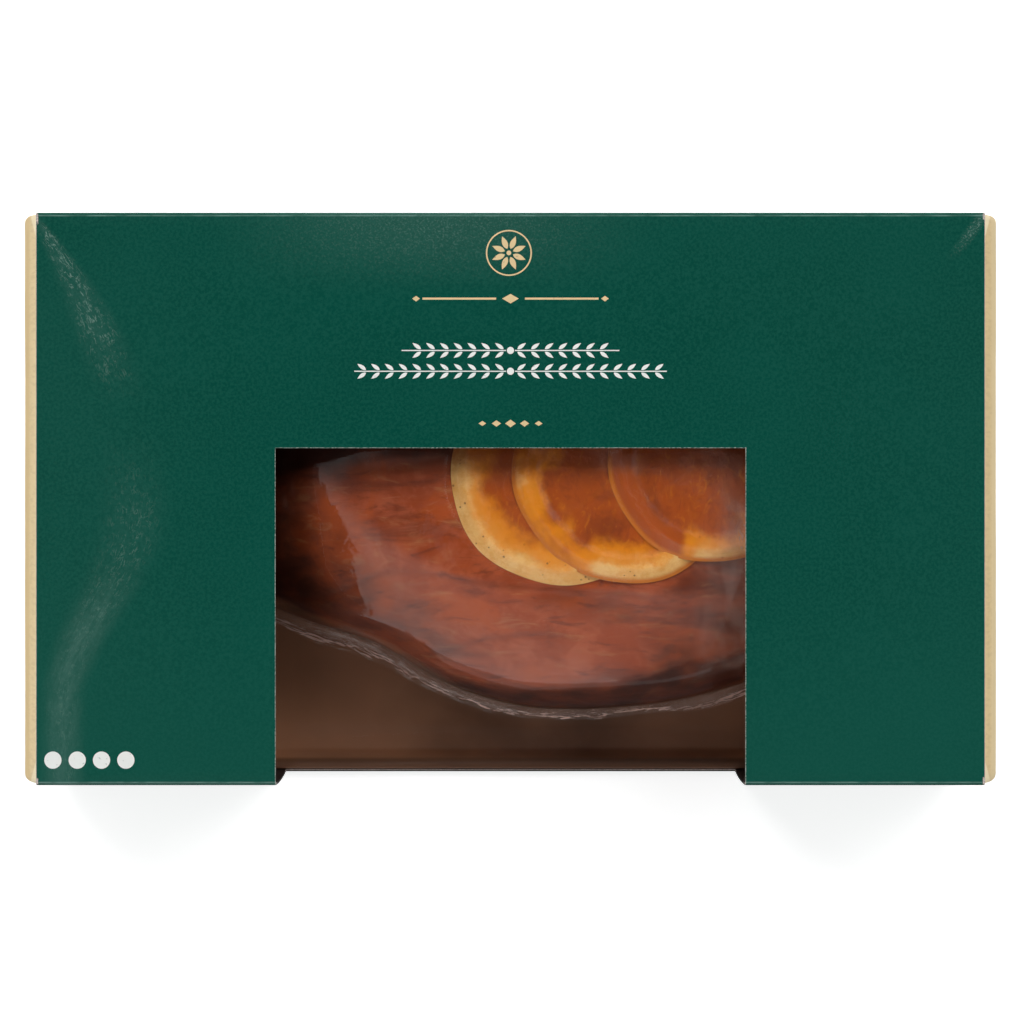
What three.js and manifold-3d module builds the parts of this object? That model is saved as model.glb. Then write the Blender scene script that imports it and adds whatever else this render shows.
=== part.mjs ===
// A glazed ham joint with orange slices, sealed under clear film on a shallow tray,
// in a shut board carton. One window is cut through the carton's top and its front wall.
// Millimetres. +X points right, +Y to the back, +Z up. The origin is under the carton's middle.
import * as THREE from 'three';
import { mergeVertices } from 'three/addons/utils/BufferGeometryUtils.js';
import Module from 'manifold-3d';

const wasm = await Module();
wasm.setup();

// Driving dimensions.
const CARTON = {
  length: 296.5, // from end crease to end crease
  width: 179,
  height: 88,
  board: 0.7,
  creaseRadius: 1,
  endBow: 6.6, // how far the end flaps bulge past their creases
  flapInset: 0.6, // from the carton's faces to the cut ends of the end flaps
  flapFoot: 11, // height of the outer flap's lower edge
  dustRun: 12, // how far in from a face the dust flap takes to meet the outer flap
};
const WINDOW = { halfWidth: 73.4, back: 15.9, sill: 2.2 };
const TRAY = {
  halfLength: 146.4,
  halfWidth: 88.4,
  cornerRadius: 14,
  rimHeight: 6.5,
  rimWidth: 1.6,
  slopeRun: 5,
  sheet: 0.6,
  underside: 1,
};
const HAM = {
  centreX: 10,
  centreY: 4,
  halfLength: 112,
  halfWidth: 72,
  base: 1.9,
  widestAt: 27,
  top: 72,
  fullness: 2.6, // exponent of its upper profile: 2 is an ellipse, more is squarer
  footShare: 0.84, // the flat base's reach as a share of the widest reach
};
// Where the ham's outline is pressed in: bearing and spread in degrees, depth as a share of its reach.
const HAM_FLATS = [
  { bearing: 222, spread: 18, depth: 0.15 },
  { bearing: 248, spread: 16, depth: 0.035 },
];
const SLICE = { thickness: 3, fleshThickness: 2.5, pith: 8, lieGap: 0.5, shoulder: 2.5, drapeRun: 12 };
const SLICES = [
  { name: 'orange_slice_1', x: 16.9, y: 8.1, radius: 35.7 },
  { name: 'orange_slice_2', x: 36.6, y: 9, radius: 35.7 },
  { name: 'orange_slice_3', x: 63.8, y: 13.4, radius: 33.5 },
];
const FILM = { gap: 1.4, sheet: 0.3, shoulder: 3, drapeRun: 13, footRun: 3.4, rimInset: 0.4, floorGap: 0.4 };

const MATERIALS = {
  carton: new THREE.MeshStandardMaterial({ color: 0x0c4a3c, roughness: 0.32, metalness: 0 }),
  tray: new THREE.MeshStandardMaterial({ color: 0x38261c, roughness: 0.35, metalness: 0 }),
  ham: new THREE.MeshStandardMaterial({ color: 0x7a3020, roughness: 0.4, metalness: 0 }),
  orange: new THREE.MeshStandardMaterial({ color: 0xc77a22, roughness: 0.4, metalness: 0 }),
  film: new THREE.MeshStandardMaterial({
    color: 0xe9e4de, roughness: 0.15, metalness: 0, transparent: true, opacity: 0.2,
  }),
};

const GRID = 1024; // steps in a millimetre
const FINEST = 0.005; // shorter edges that a cut leaves are closed up
const FULL_TURN = 2 * Math.PI;
const QUARTER_TURN = Math.PI / 2;

/** Keeps position only, joins shared vertices, drops triangles with no area and faces the rest out. */
function closed(geometry) {
  geometry.deleteAttribute('uv');
  geometry.deleteAttribute('normal');
  const merged = mergeVertices(geometry, 1e-4);
  const index = merged.index.array;
  const kept = [];
  let volume = 0;
  const corner = [new THREE.Vector3(), new THREE.Vector3(), new THREE.Vector3()];
  for (let i = 0; i < index.length; i += 3) {
    const [a, b, c] = [index[i], index[i + 1], index[i + 2]];
    if (a === b || b === c || c === a) continue;
    corner.forEach((p, k) => p.fromBufferAttribute(merged.attributes.position, index[i + k]));
    volume += corner[0].dot(corner[1].clone().cross(corner[2]));
    kept.push(a, b, c);
  }
  if (volume < 0) kept.reverse();
  merged.setIndex(kept);
  return merged;
}

/** A closed three.js geometry as a manifold-3d solid, on a fine grid so that flush faces match. */
function solid(geometry) {
  const merged = closed(geometry);
  return new wasm.Manifold(new wasm.Mesh({
    numProp: 3,
    vertProperties: merged.attributes.position.array.map((value) => Math.round(value * GRID) / GRID),
    triVerts: new Uint32Array(merged.index.array),
  }));
}

/** A manifold-3d solid as a three.js geometry. */
function geometryOf(manifold) {
  const mesh = manifold.getMesh();
  const geometry = new THREE.BufferGeometry();
  geometry.setAttribute('position', new THREE.BufferAttribute(mesh.vertProperties, 3));
  geometry.setIndex(new THREE.BufferAttribute(mesh.triVerts, 1));
  return geometry;
}

/**
 * A lathe whose every vertex is moved to place(station, bearing).
 * The first and last stations are single points, so the surface closes on itself.
 */
function shapedLathe(stations, bearings, place) {
  const profile = stations.map((_, i) => new THREE.Vector2(1, i));
  const lathe = new THREE.LatheGeometry(profile, bearings.length);
  const position = lathe.attributes.position;
  for (let turn = 0; turn <= bearings.length; turn += 1) {
    const bearing = bearings[turn % bearings.length];
    stations.forEach((station, i) => {
      position.setXYZ(turn * stations.length + i, ...place(station, bearing));
    });
  }
  return closed(lathe);
}

/** Numbers from `from` to `to` in equal steps, both ends included. */
function steps(from, to, count) {
  return Array.from({ length: count + 1 }, (_, i) => from + ((to - from) * i) / count);
}

/** Equally spaced bearings round a full turn. */
function evenBearings(count) {
  return steps(0, FULL_TURN, count).slice(0, count);
}

/** 1 up to `flat`, then down to 0 at `end` along a smooth step. */
function shoulder(distance, flat, end) {
  const t = THREE.MathUtils.clamp((end - distance) / (end - flat), 0, 1);
  return t * t * (3 - 2 * t);
}

// ---- Carton ----

const END_CREASE = CARTON.length / 2;
const FACE = CARTON.width / 2;
const MID_HEIGHT = CARTON.height / 2;
const BOW_CHORD = MID_HEIGHT - CARTON.creaseRadius;
const BOW_RADIUS = (BOW_CHORD ** 2 + CARTON.endBow ** 2) / (2 * CARTON.endBow);

/** How far the outer end flap stands past its creases at a height. */
function bowAt(z) {
  const rise = Math.min(Math.abs(z - MID_HEIGHT), BOW_CHORD);
  return Math.sqrt(BOW_RADIUS ** 2 - rise ** 2) - (BOW_RADIUS - CARTON.endBow);
}

/** The four long panels: a rounded tube of board along X, open at both ends. */
function sleeve() {
  const { board, creaseRadius: r, height } = CARTON;
  const outline = new THREE.Shape();
  outline.absarc(FACE - r, r, r, -QUARTER_TURN, 0, false);
  outline.absarc(FACE - r, height - r, r, 0, QUARTER_TURN, false);
  outline.absarc(r - FACE, height - r, r, QUARTER_TURN, Math.PI, false);
  outline.absarc(r - FACE, r, r, Math.PI, 3 * QUARTER_TURN, false);
  const inside = new THREE.Path();
  inside.moveTo(board - FACE, board);
  inside.lineTo(board - FACE, height - board);
  inside.lineTo(FACE - board, height - board);
  inside.lineTo(FACE - board, board);
  inside.closePath();
  outline.holes.push(inside);
  const length = CARTON.length - board;
  const tube = new THREE.ExtrudeGeometry(outline, { depth: length, bevelEnabled: false, curveSegments: 4 });
  tube.translate(0, 0, -length / 2);
  tube.rotateX(QUARTER_TURN);
  tube.rotateZ(QUARTER_TURN);
  return solid(tube);
}

/** The outer end flap over the inner one: a bowed strip from the top crease to the bottom crease. */
function endFlaps() {
  const { board, creaseRadius: r, height, flapFoot, flapInset } = CARTON;
  const lean = Math.asin(BOW_CHORD / BOW_RADIUS);
  const legEnd = END_CREASE - 2 * r;
  const arcHeights = steps(height - 3 * r, flapFoot, 9);
  const footHeights = steps(flapFoot, 3 * r, 2);
  const creaseAngles = steps(QUARTER_TURN, lean, 3);
  const along = (heights, depth) => heights.map((z) => [END_CREASE + bowAt(z) - depth, z]);
  const crease = creaseAngles.map((a) => [END_CREASE - r + r * Math.cos(a), r * Math.sin(a) - r]);
  const outside = [
    [legEnd, height],
    ...crease.map(([x, drop]) => [x, height + drop]),
    ...along(arcHeights, 0),
    ...along(footHeights, board),
    ...crease.map(([x, drop]) => [x - board / 2, -drop]).reverse(),
    [legEnd, 0],
  ];
  const inside = [
    [legEnd, board],
    ...along(steps(3 * r, height - 3 * r, 9), 2 * board),
    [legEnd, height - board],
  ];
  const shape = new THREE.Shape([...outside, ...inside].map(([x, z]) => new THREE.Vector2(x, z)));
  const span = CARTON.width - 2 * flapInset;
  const strip = new THREE.ExtrudeGeometry(shape, { depth: span, bevelEnabled: false });
  strip.rotateX(QUARTER_TURN);
  strip.translate(0, span / 2, 0);
  return solid(strip);
}

/** The dust flaps behind: they start at the walls' end creases and bulge out to meet the end flaps. */
function dustFlaps() {
  const { board, height, dustRun } = CARTON;
  const width = CARTON.width - board / 2;
  const panel = new THREE.BoxGeometry(board, width, height - board / 2, 1, 12, 12);
  const position = panel.attributes.position;
  for (let i = 0; i < position.count; i += 1) {
    const y = (width / 2) * Math.sin((position.getY(i) / width) * Math.PI);
    const z = position.getZ(i) + MID_HEIGHT;
    const inset = Math.min(1, (width / 2 - Math.abs(y)) / dustRun);
    const bulge = Math.max(0, bowAt(z) - 1.7 * board) * Math.sin(inset * QUARTER_TURN);
    position.setXYZ(i, END_CREASE - board / 2 + bulge + position.getX(i), y, z);
  }
  return solid(panel);
}

/** The window's cutter: it takes the top's front middle and the front wall down to a low sill. */
function windowCut() {
  const { halfWidth, back, sill } = WINDOW;
  const over = 10;
  const depth = back + FACE + over;
  const tall = CARTON.height + over - sill;
  const cutter = new THREE.BoxGeometry(2 * halfWidth, depth, tall);
  cutter.translate(0, back - depth / 2, sill + tall / 2);
  return solid(cutter);
}

function cartonGeometry() {
  const rightEnd = endFlaps().add(dustFlaps());
  const leftEnd = rightEnd.rotate([0, 0, 180]);
  const board = sleeve().add(rightEnd).add(leftEnd).subtract(windowCut());
  return geometryOf(board.simplify(FINEST));
}

// ---- Tray ----

/** Distance from the ham's axis to the tray's rounded outline, drawn in by `inset`. */
function trayReach(bearing, inset) {
  const corner = TRAY.cornerRadius - inset;
  const flatX = TRAY.halfLength - inset - corner;
  const flatY = TRAY.halfWidth - inset - corner;
  const past = (reach) => {
    const x = Math.abs(HAM.centreX + reach * Math.cos(bearing)) - flatX;
    const y = Math.abs(HAM.centreY + reach * Math.sin(bearing)) - flatY;
    return Math.hypot(Math.max(x, 0), Math.max(y, 0)) + Math.min(Math.max(x, y), 0) - corner;
  };
  let [near, far] = [0, 2 * TRAY.halfLength];
  for (let i = 0; i < 40; i += 1) {
    const middle = (near + far) / 2;
    if (past(middle) > 0) far = middle;
    else near = middle;
  }
  return near;
}

/** Bearings from the ham's axis that follow the tray's sides and turn finely round its corners. */
function trayBearings() {
  const { halfLength, halfWidth, cornerRadius: r } = TRAY;
  const outline = new THREE.Shape();
  outline.absarc(halfLength - r, halfWidth - r, r, 0, QUARTER_TURN, false);
  outline.absarc(r - halfLength, halfWidth - r, r, QUARTER_TURN, Math.PI, false);
  outline.absarc(r - halfLength, r - halfWidth, r, Math.PI, 3 * QUARTER_TURN, false);
  outline.absarc(halfLength - r, r - halfWidth, r, 3 * QUARTER_TURN, FULL_TURN, false);
  const corners = outline.getPoints(3);
  const bearings = corners.map((p) => Math.atan2(p.y - HAM.centreY, p.x - HAM.centreX));
  const sorted = bearings.map((b) => THREE.MathUtils.euclideanModulo(b, FULL_TURN)).sort((a, b) => a - b);
  const widest = 0.15;
  const filled = [];
  sorted.forEach((bearing, i) => {
    const next = i + 1 < sorted.length ? sorted[i + 1] : sorted[0] + FULL_TURN;
    if (next - bearing < 1e-6) return;
    filled.push(...steps(bearing, next, Math.ceil((next - bearing) / widest)).slice(0, -1));
  });
  return filled;
}

const TRAY_FLOOR = TRAY.underside + TRAY.sheet;
const SLOPE_FOOT = TRAY.rimWidth + TRAY.slopeRun;

function trayGeometry() {
  const { rimHeight, rimWidth, sheet, underside } = TRAY;
  const under = rimHeight - sheet;
  const stations = [
    { centre: true, z: underside },
    { inset: SLOPE_FOOT, z: underside },
    { inset: rimWidth + sheet, z: under },
    { inset: 0, z: under },
    { inset: 0, z: rimHeight },
    { inset: rimWidth, z: rimHeight },
    { inset: SLOPE_FOOT + sheet, z: TRAY_FLOOR },
    { centre: true, z: TRAY_FLOOR },
  ];
  return shapedLathe(stations, trayBearings(), ({ centre, inset, z }, bearing) => {
    const reach = centre ? 0 : trayReach(bearing, inset);
    return [HAM.centreX + reach * Math.cos(bearing), HAM.centreY + reach * Math.sin(bearing), z];
  });
}

// ---- Ham ----

/** Distance from the ham's axis to its widest outline. */
function hamReach(bearing) {
  const { halfLength: a, halfWidth: b } = HAM;
  const ellipse = (a * b) / Math.hypot(b * Math.cos(bearing), a * Math.sin(bearing));
  const degrees = THREE.MathUtils.radToDeg(bearing);
  return HAM_FLATS.reduce((reach, flat) => {
    const turn = THREE.MathUtils.euclideanModulo(degrees - flat.bearing + 180, 360) - 180;
    return reach * (1 - flat.depth * Math.exp(-((turn / flat.spread) ** 2)));
  }, ellipse);
}

/** Low swells of muscle over the upper surface. */
function swells(x, y) {
  const broad = 1.1 * Math.sin(x / 16 + 0.6) * Math.cos(y / 13 - 0.4);
  const fine = 0.5 * Math.sin((x + 1.7 * y) / 8.5 + 1.9);
  return broad + fine;
}

/** Height of the ham's upper surface over a point, or of its widest line beyond that. */
function hamTop(x, y) {
  const dx = x - HAM.centreX;
  const dy = y - HAM.centreY;
  const share = Math.min(1, Math.hypot(dx, dy) / hamReach(Math.atan2(dy, dx)));
  const rise = (1 - share ** HAM.fullness) ** (1 / HAM.fullness);
  return HAM.widestAt + (HAM.top - HAM.widestAt) * rise + swells(x, y) * rise;
}

function hamGeometry() {
  const { centreX, centreY, base, widestAt, footShare, fullness } = HAM;
  const bend = (t) => t ** (2 / fullness);
  const upper = steps(0, QUARTER_TURN, 14).map((a) => ({ share: bend(Math.sin(a)) }));
  const lower = steps(0, QUARTER_TURN, 6).slice(1).map((a) => ({
    share: footShare + (1 - footShare) * bend(Math.max(0, Math.cos(a))),
    z: widestAt - (widestAt - base) * bend(Math.sin(a)),
  }));
  const stations = [...upper, ...lower, { share: 0, z: base }];
  return shapedLathe(stations, evenBearings(72), ({ share, z }, bearing) => {
    const reach = share * hamReach(bearing);
    const x = centreX + reach * Math.cos(bearing);
    const y = centreY + reach * Math.sin(bearing);
    return [x, y, z ?? hamTop(x, y)];
  });
}

// ---- Orange slices ----

/** Height added over a point by the first `count` slices, easing down beyond their edges. */
function sliceLift(count, x, y, flat, run) {
  return SLICES.slice(0, count).reduce((lift, slice) => {
    const distance = Math.hypot(x - slice.x, y - slice.y);
    const over = shoulder(distance, slice.radius + flat, slice.radius + flat + run);
    return lift + (SLICE.thickness + SLICE.lieGap) * over;
  }, 0);
}

/** One slice, draped over the ham and over the slices laid before it. */
function sliceGeometry(slice, order) {
  const { thickness, fleshThickness, pith, lieGap, shoulder: flat, drapeRun } = SLICE;
  const flesh = slice.radius - pith;
  const under = steps(0, slice.radius - 0.8, 6).map((r) => ({ r, up: 0 }));
  const edge = [{ r: slice.radius, up: 0.3 * thickness }, { r: slice.radius, up: 0.75 * thickness }];
  const rind = [{ r: slice.radius - 0.8, up: thickness }, { r: flesh + 1, up: thickness }];
  const middle = steps(flesh, 0, 4).map((r) => ({ r, up: fleshThickness }));
  return shapedLathe([...under, ...edge, ...rind, ...middle], evenBearings(38), ({ r, up }, bearing) => {
    const x = slice.x + r * Math.cos(bearing);
    const y = slice.y + r * Math.sin(bearing);
    return [x, y, hamTop(x, y) + lieGap + sliceLift(order, x, y, flat, drapeRun) + up];
  });
}

// ---- Film ----

/** The film hugs the ham and its slices, drops to the tray beside the ham and runs out to the rim. */
function filmGeometry() {
  const { gap, sheet, shoulder: flat, drapeRun, footRun, rimInset, floorGap } = FILM;
  const lid = (share, lean) => ({ share, lean: THREE.MathUtils.degToRad(lean), gap });
  const onTray = (inset, z) => ({ inset, z, lean: 0, gap: floorGap });
  const cover = [
    lid(0, 0), lid(0.14, 0), lid(0.28, 0), lid(0.41, 0), lid(0.53, 5), lid(0.64, 10), lid(0.74, 18),
    lid(0.83, 30), lid(0.905, 45), lid(0.96, 60), lid(0.99, 75), lid(1, 90),
  ];
  const flank = [
    { run: 0.9, z: 0.5 * HAM.widestAt, lean: 1.3, gap },
    { run: footRun, z: TRAY_FLOOR + 2, lean: 0.9, gap: floorGap },
    { run: 2.5 * footRun, z: TRAY_FLOOR, lean: 0, gap: floorGap },
  ];
  const skirt = [
    onTray(SLOPE_FOOT + 1.2, TRAY_FLOOR),
    onTray(TRAY.rimWidth + 0.6, TRAY.rimHeight),
    onTray(rimInset, TRAY.rimHeight),
  ];
  const path = [...cover, ...flank, ...skirt];
  const inner = path.map((station) => ({ ...station, out: 0 }));
  const outer = path.map((station) => ({ ...station, out: sheet })).reverse();
  return shapedLathe([...inner, ...outer], trayBearings(), (station, bearing) => {
    const { share, run, inset, lean, out } = station;
    const widest = hamReach(bearing);
    let reach = (share ?? 1) * widest;
    if (run !== undefined) reach = Math.min(widest + run, trayReach(bearing, SLOPE_FOOT + 1.8));
    if (inset !== undefined) reach = trayReach(bearing, inset);
    let x = HAM.centreX + reach * Math.cos(bearing);
    let y = HAM.centreY + reach * Math.sin(bearing);
    const lift = sliceLift(SLICES.length, x, y, flat, drapeRun);
    const z = station.z ?? hamTop(x, y) + lift;
    const off = station.gap + out;
    x += off * Math.sin(lean) * Math.cos(bearing);
    y += off * Math.sin(lean) * Math.sin(bearing);
    return [x, y, z + off * Math.cos(lean)];
  });
}

// ---- The whole pack ----

function piece(name, geometry, material) {
  const mesh = new THREE.Mesh(geometry, material.clone());
  mesh.name = name;
  return mesh;
}

const pack = new THREE.Group();
pack.add(piece('carton', cartonGeometry(), MATERIALS.carton));
pack.add(piece('tray', trayGeometry(), MATERIALS.tray));
pack.add(piece('ham', hamGeometry(), MATERIALS.ham));
SLICES.forEach((slice, order) => {
  pack.add(piece(slice.name, sliceGeometry(slice, order), MATERIALS.orange));
});
pack.add(piece('film', filmGeometry(), MATERIALS.film));

export default pack;
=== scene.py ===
"""A glazed ham joint with orange slices, under clear film on a tray, in a windowed board carton.

Sizes are in millimetres and are turned into metres where a mesh is made. +X points right,
+Y to the back and +Z up. The origin is under the carton's middle.
"""

import logging
import math
from collections.abc import Iterator
from contextlib import contextmanager
from dataclasses import dataclass, field
from enum import Enum

import bmesh
import bpy
import numpy as np
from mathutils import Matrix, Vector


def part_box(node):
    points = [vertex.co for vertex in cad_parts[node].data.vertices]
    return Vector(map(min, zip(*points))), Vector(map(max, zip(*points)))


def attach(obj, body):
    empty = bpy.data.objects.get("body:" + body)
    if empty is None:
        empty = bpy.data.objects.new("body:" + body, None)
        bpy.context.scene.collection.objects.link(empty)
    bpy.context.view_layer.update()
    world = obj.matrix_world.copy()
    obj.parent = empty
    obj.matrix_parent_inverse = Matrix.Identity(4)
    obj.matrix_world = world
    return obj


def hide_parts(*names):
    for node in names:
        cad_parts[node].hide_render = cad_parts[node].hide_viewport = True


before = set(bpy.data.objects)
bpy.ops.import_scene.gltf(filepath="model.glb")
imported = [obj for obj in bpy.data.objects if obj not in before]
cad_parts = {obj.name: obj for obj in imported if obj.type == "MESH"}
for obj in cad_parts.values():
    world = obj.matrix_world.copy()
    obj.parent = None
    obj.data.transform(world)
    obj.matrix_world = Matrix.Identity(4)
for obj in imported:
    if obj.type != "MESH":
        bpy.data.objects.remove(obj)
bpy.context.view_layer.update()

LOG = logging.getLogger("glazed_ham")
MM = 0.001
BODY = "root"
FULL_TURN = 2 * math.pi
SAME_PLACE = 0.0005
Array = np.ndarray
Colour = tuple[float, float, float]
Piece = bpy.types.Object
Material = bpy.types.Material
Tree = bpy.types.NodeTree
Node = bpy.types.Node
Socket = bpy.types.NodeSocket


class End(Enum):
    """The carton's two bowed ends, as the sign of X."""

    LEFT = -1
    RIGHT = 1


# ---- Numbers and meshes ----


def smooth_step(value: Array, low: float, high: float) -> Array:
    """Eases from 0 at low to 1 at high.

    Args:
        value: What is measured.
        low: Where the result starts to leave 0.
        high: Where the result reaches 1.

    Returns:
        3t^2 - 2t^3, with t the share of the way from low to high, kept within 0 and 1.
    """
    share = np.clip((value - low) / (high - low), 0.0, 1.0)
    return share * share * (3.0 - 2.0 * share)


def bell(*offsets: Array) -> Array:
    """A gaussian hill: exp(-(u^2 + v^2 + ...)) of the offsets from its middle, each in spreads."""
    return np.exp(-sum(offset**2 for offset in offsets))


def turned(bearing: Array, middle: float) -> Array:
    """Degrees from a middle, in degrees, to a bearing, in radians, kept within -180 and 180."""
    return (np.degrees(bearing) - middle + 180.0) % 360.0 - 180.0


def circle(columns: int) -> Array:
    """Bearings of evenly spaced columns once round, in radians."""
    return np.arange(columns) * FULL_TURN / columns


def soft_noise(x: Array, y: Array, cell: float, seed: int) -> Array:
    """Smooth random hills over a plane.

    Args:
        x: First coordinate.
        y: Second coordinate.
        cell: Distance between neighbouring hills.
        seed: Picks the hills.

    Returns:
        Values from -1 to 1: heights drawn at the corners of square cells, blended by a quintic.
    """
    size = 256
    heights = np.random.default_rng(seed).uniform(-1.0, 1.0, (size, size))
    u, v = np.asarray(x) / cell, np.asarray(y) / cell
    col, row = np.floor(u).astype(int), np.floor(v).astype(int)
    fu, fv = u - col, v - row
    fu = fu**3 * (fu * (fu * 6 - 15) + 10)
    fv = fv**3 * (fv * (fv * 6 - 15) + 10)
    near = heights[row % size, col % size] * (1 - fu) + heights[row % size, (col + 1) % size] * fu
    far = heights[(row + 1) % size, col % size] * (1 - fu)
    far = far + heights[(row + 1) % size, (col + 1) % size] * fu
    return near * (1 - fv) + far * fv


def layered_noise(x: Array, y: Array, cell: float, seed: int, layers: int = 3) -> Array:
    """Adds soft_noise at halving cells and heights.

    Args:
        x: First coordinate.
        y: Second coordinate.
        cell: Cell of the broadest layer.
        seed: Picks the hills.
        layers: How many layers are added.

    Returns:
        The sum, about -1 to 1.
    """
    total = sum(soft_noise(x, y, cell / 2**k, seed + k) / 2**k for k in range(layers))
    return total / (2.0 - 0.5 ** (layers - 1))


def grid_faces(rows: int, columns: int, wrap_columns: bool) -> Array:
    """Corner numbers of the quads of a grid of points.

    Args:
        rows: Points along the first direction.
        columns: Points along the second direction.
        wrap_columns: True if the last column joins the first.

    Returns:
        One row of four numbers for each quad.
    """
    row = np.arange(rows - 1)[:, None]
    column = np.arange(columns if wrap_columns else columns - 1)[None, :]
    following = (column + 1) % columns
    corners = [row * columns + column, (row + 1) * columns + column]
    corners += [(row + 1) * columns + following, row * columns + following]
    return np.stack([np.broadcast_to(c, (rows - 1, column.size)) for c in corners], -1).reshape(-1, 4)


@contextmanager
def editing(piece: Piece) -> Iterator[bmesh.types.BMesh]:
    """Opens a piece's mesh for editing and writes it back.

    Args:
        piece: The mesh object.

    Yields:
        The mesh, open to bmesh.ops.
    """
    work = bmesh.new()
    work.from_mesh(piece.data)
    yield work
    work.to_mesh(piece.data)
    work.free()
    piece.data.update()


def mesh_object(name: str, points: Array, faces: Array, values: dict[str, Array] | None = None) -> Piece:
    """Makes one smooth mesh object at the origin.

    Args:
        name: The piece's name.
        points: Corner places in millimetres.
        faces: Corner numbers, three or four to a face.
        values: Numbers or, with a third axis, vectors kept at each corner for the materials.

    Returns:
        The object, linked to the scene.
    """
    mesh = bpy.data.meshes.new(name)
    count, sides = len(faces), faces.shape[1]
    mesh.vertices.add(len(points))
    mesh.vertices.foreach_set("co", (np.asarray(points, np.float64) * MM).astype(np.float32).ravel())
    mesh.loops.add(count * sides)
    mesh.loops.foreach_set("vertex_index", faces.astype(np.int32).ravel())
    mesh.polygons.add(count)
    mesh.polygons.foreach_set("loop_start", np.arange(0, count * sides, sides, dtype=np.int32))
    mesh.update(calc_edges=True)
    for key, numbers in (values or {}).items():
        triple = np.ndim(numbers) == 3
        layer = mesh.attributes.new(key, "FLOAT_VECTOR" if triple else "FLOAT", "POINT")
        layer.data.foreach_set("vector" if triple else "value", np.asarray(numbers, np.float32).ravel())
    mesh.validate()
    mesh.shade_smooth()
    made = bpy.data.objects.new(name, mesh)
    bpy.context.scene.collection.objects.link(made)
    return made


def weld(piece: Piece, outward: bool = True) -> None:
    """Joins corners that share a place and turns a closed skin's faces out.

    Args:
        piece: The mesh object.
        outward: True to work the facing out again.
    """
    with editing(piece) as work:
        bmesh.ops.remove_doubles(work, verts=work.verts, dist=SAME_PLACE * MM)
        if outward:
            bmesh.ops.recalc_face_normals(work, faces=work.faces)


def finish_piece(piece: Piece, materials: list[Material], node: str = "") -> None:
    """Gives a piece its materials and its body, and hides the CAD part that it replaces.

    Args:
        piece: The object.
        materials: In the order of the mesh's material numbers.
        node: The CAD node that it replaces, if any.
    """
    slots = piece.data.materials
    for index, material in enumerate(materials):
        if index < len(slots):
            slots[index] = material
        else:
            slots.append(material)
    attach(piece, BODY)
    if node:
        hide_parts(node)
    LOG.info("%s: %d faces", piece.name, len(piece.data.polygons))


# ---- Shader building ----


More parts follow.
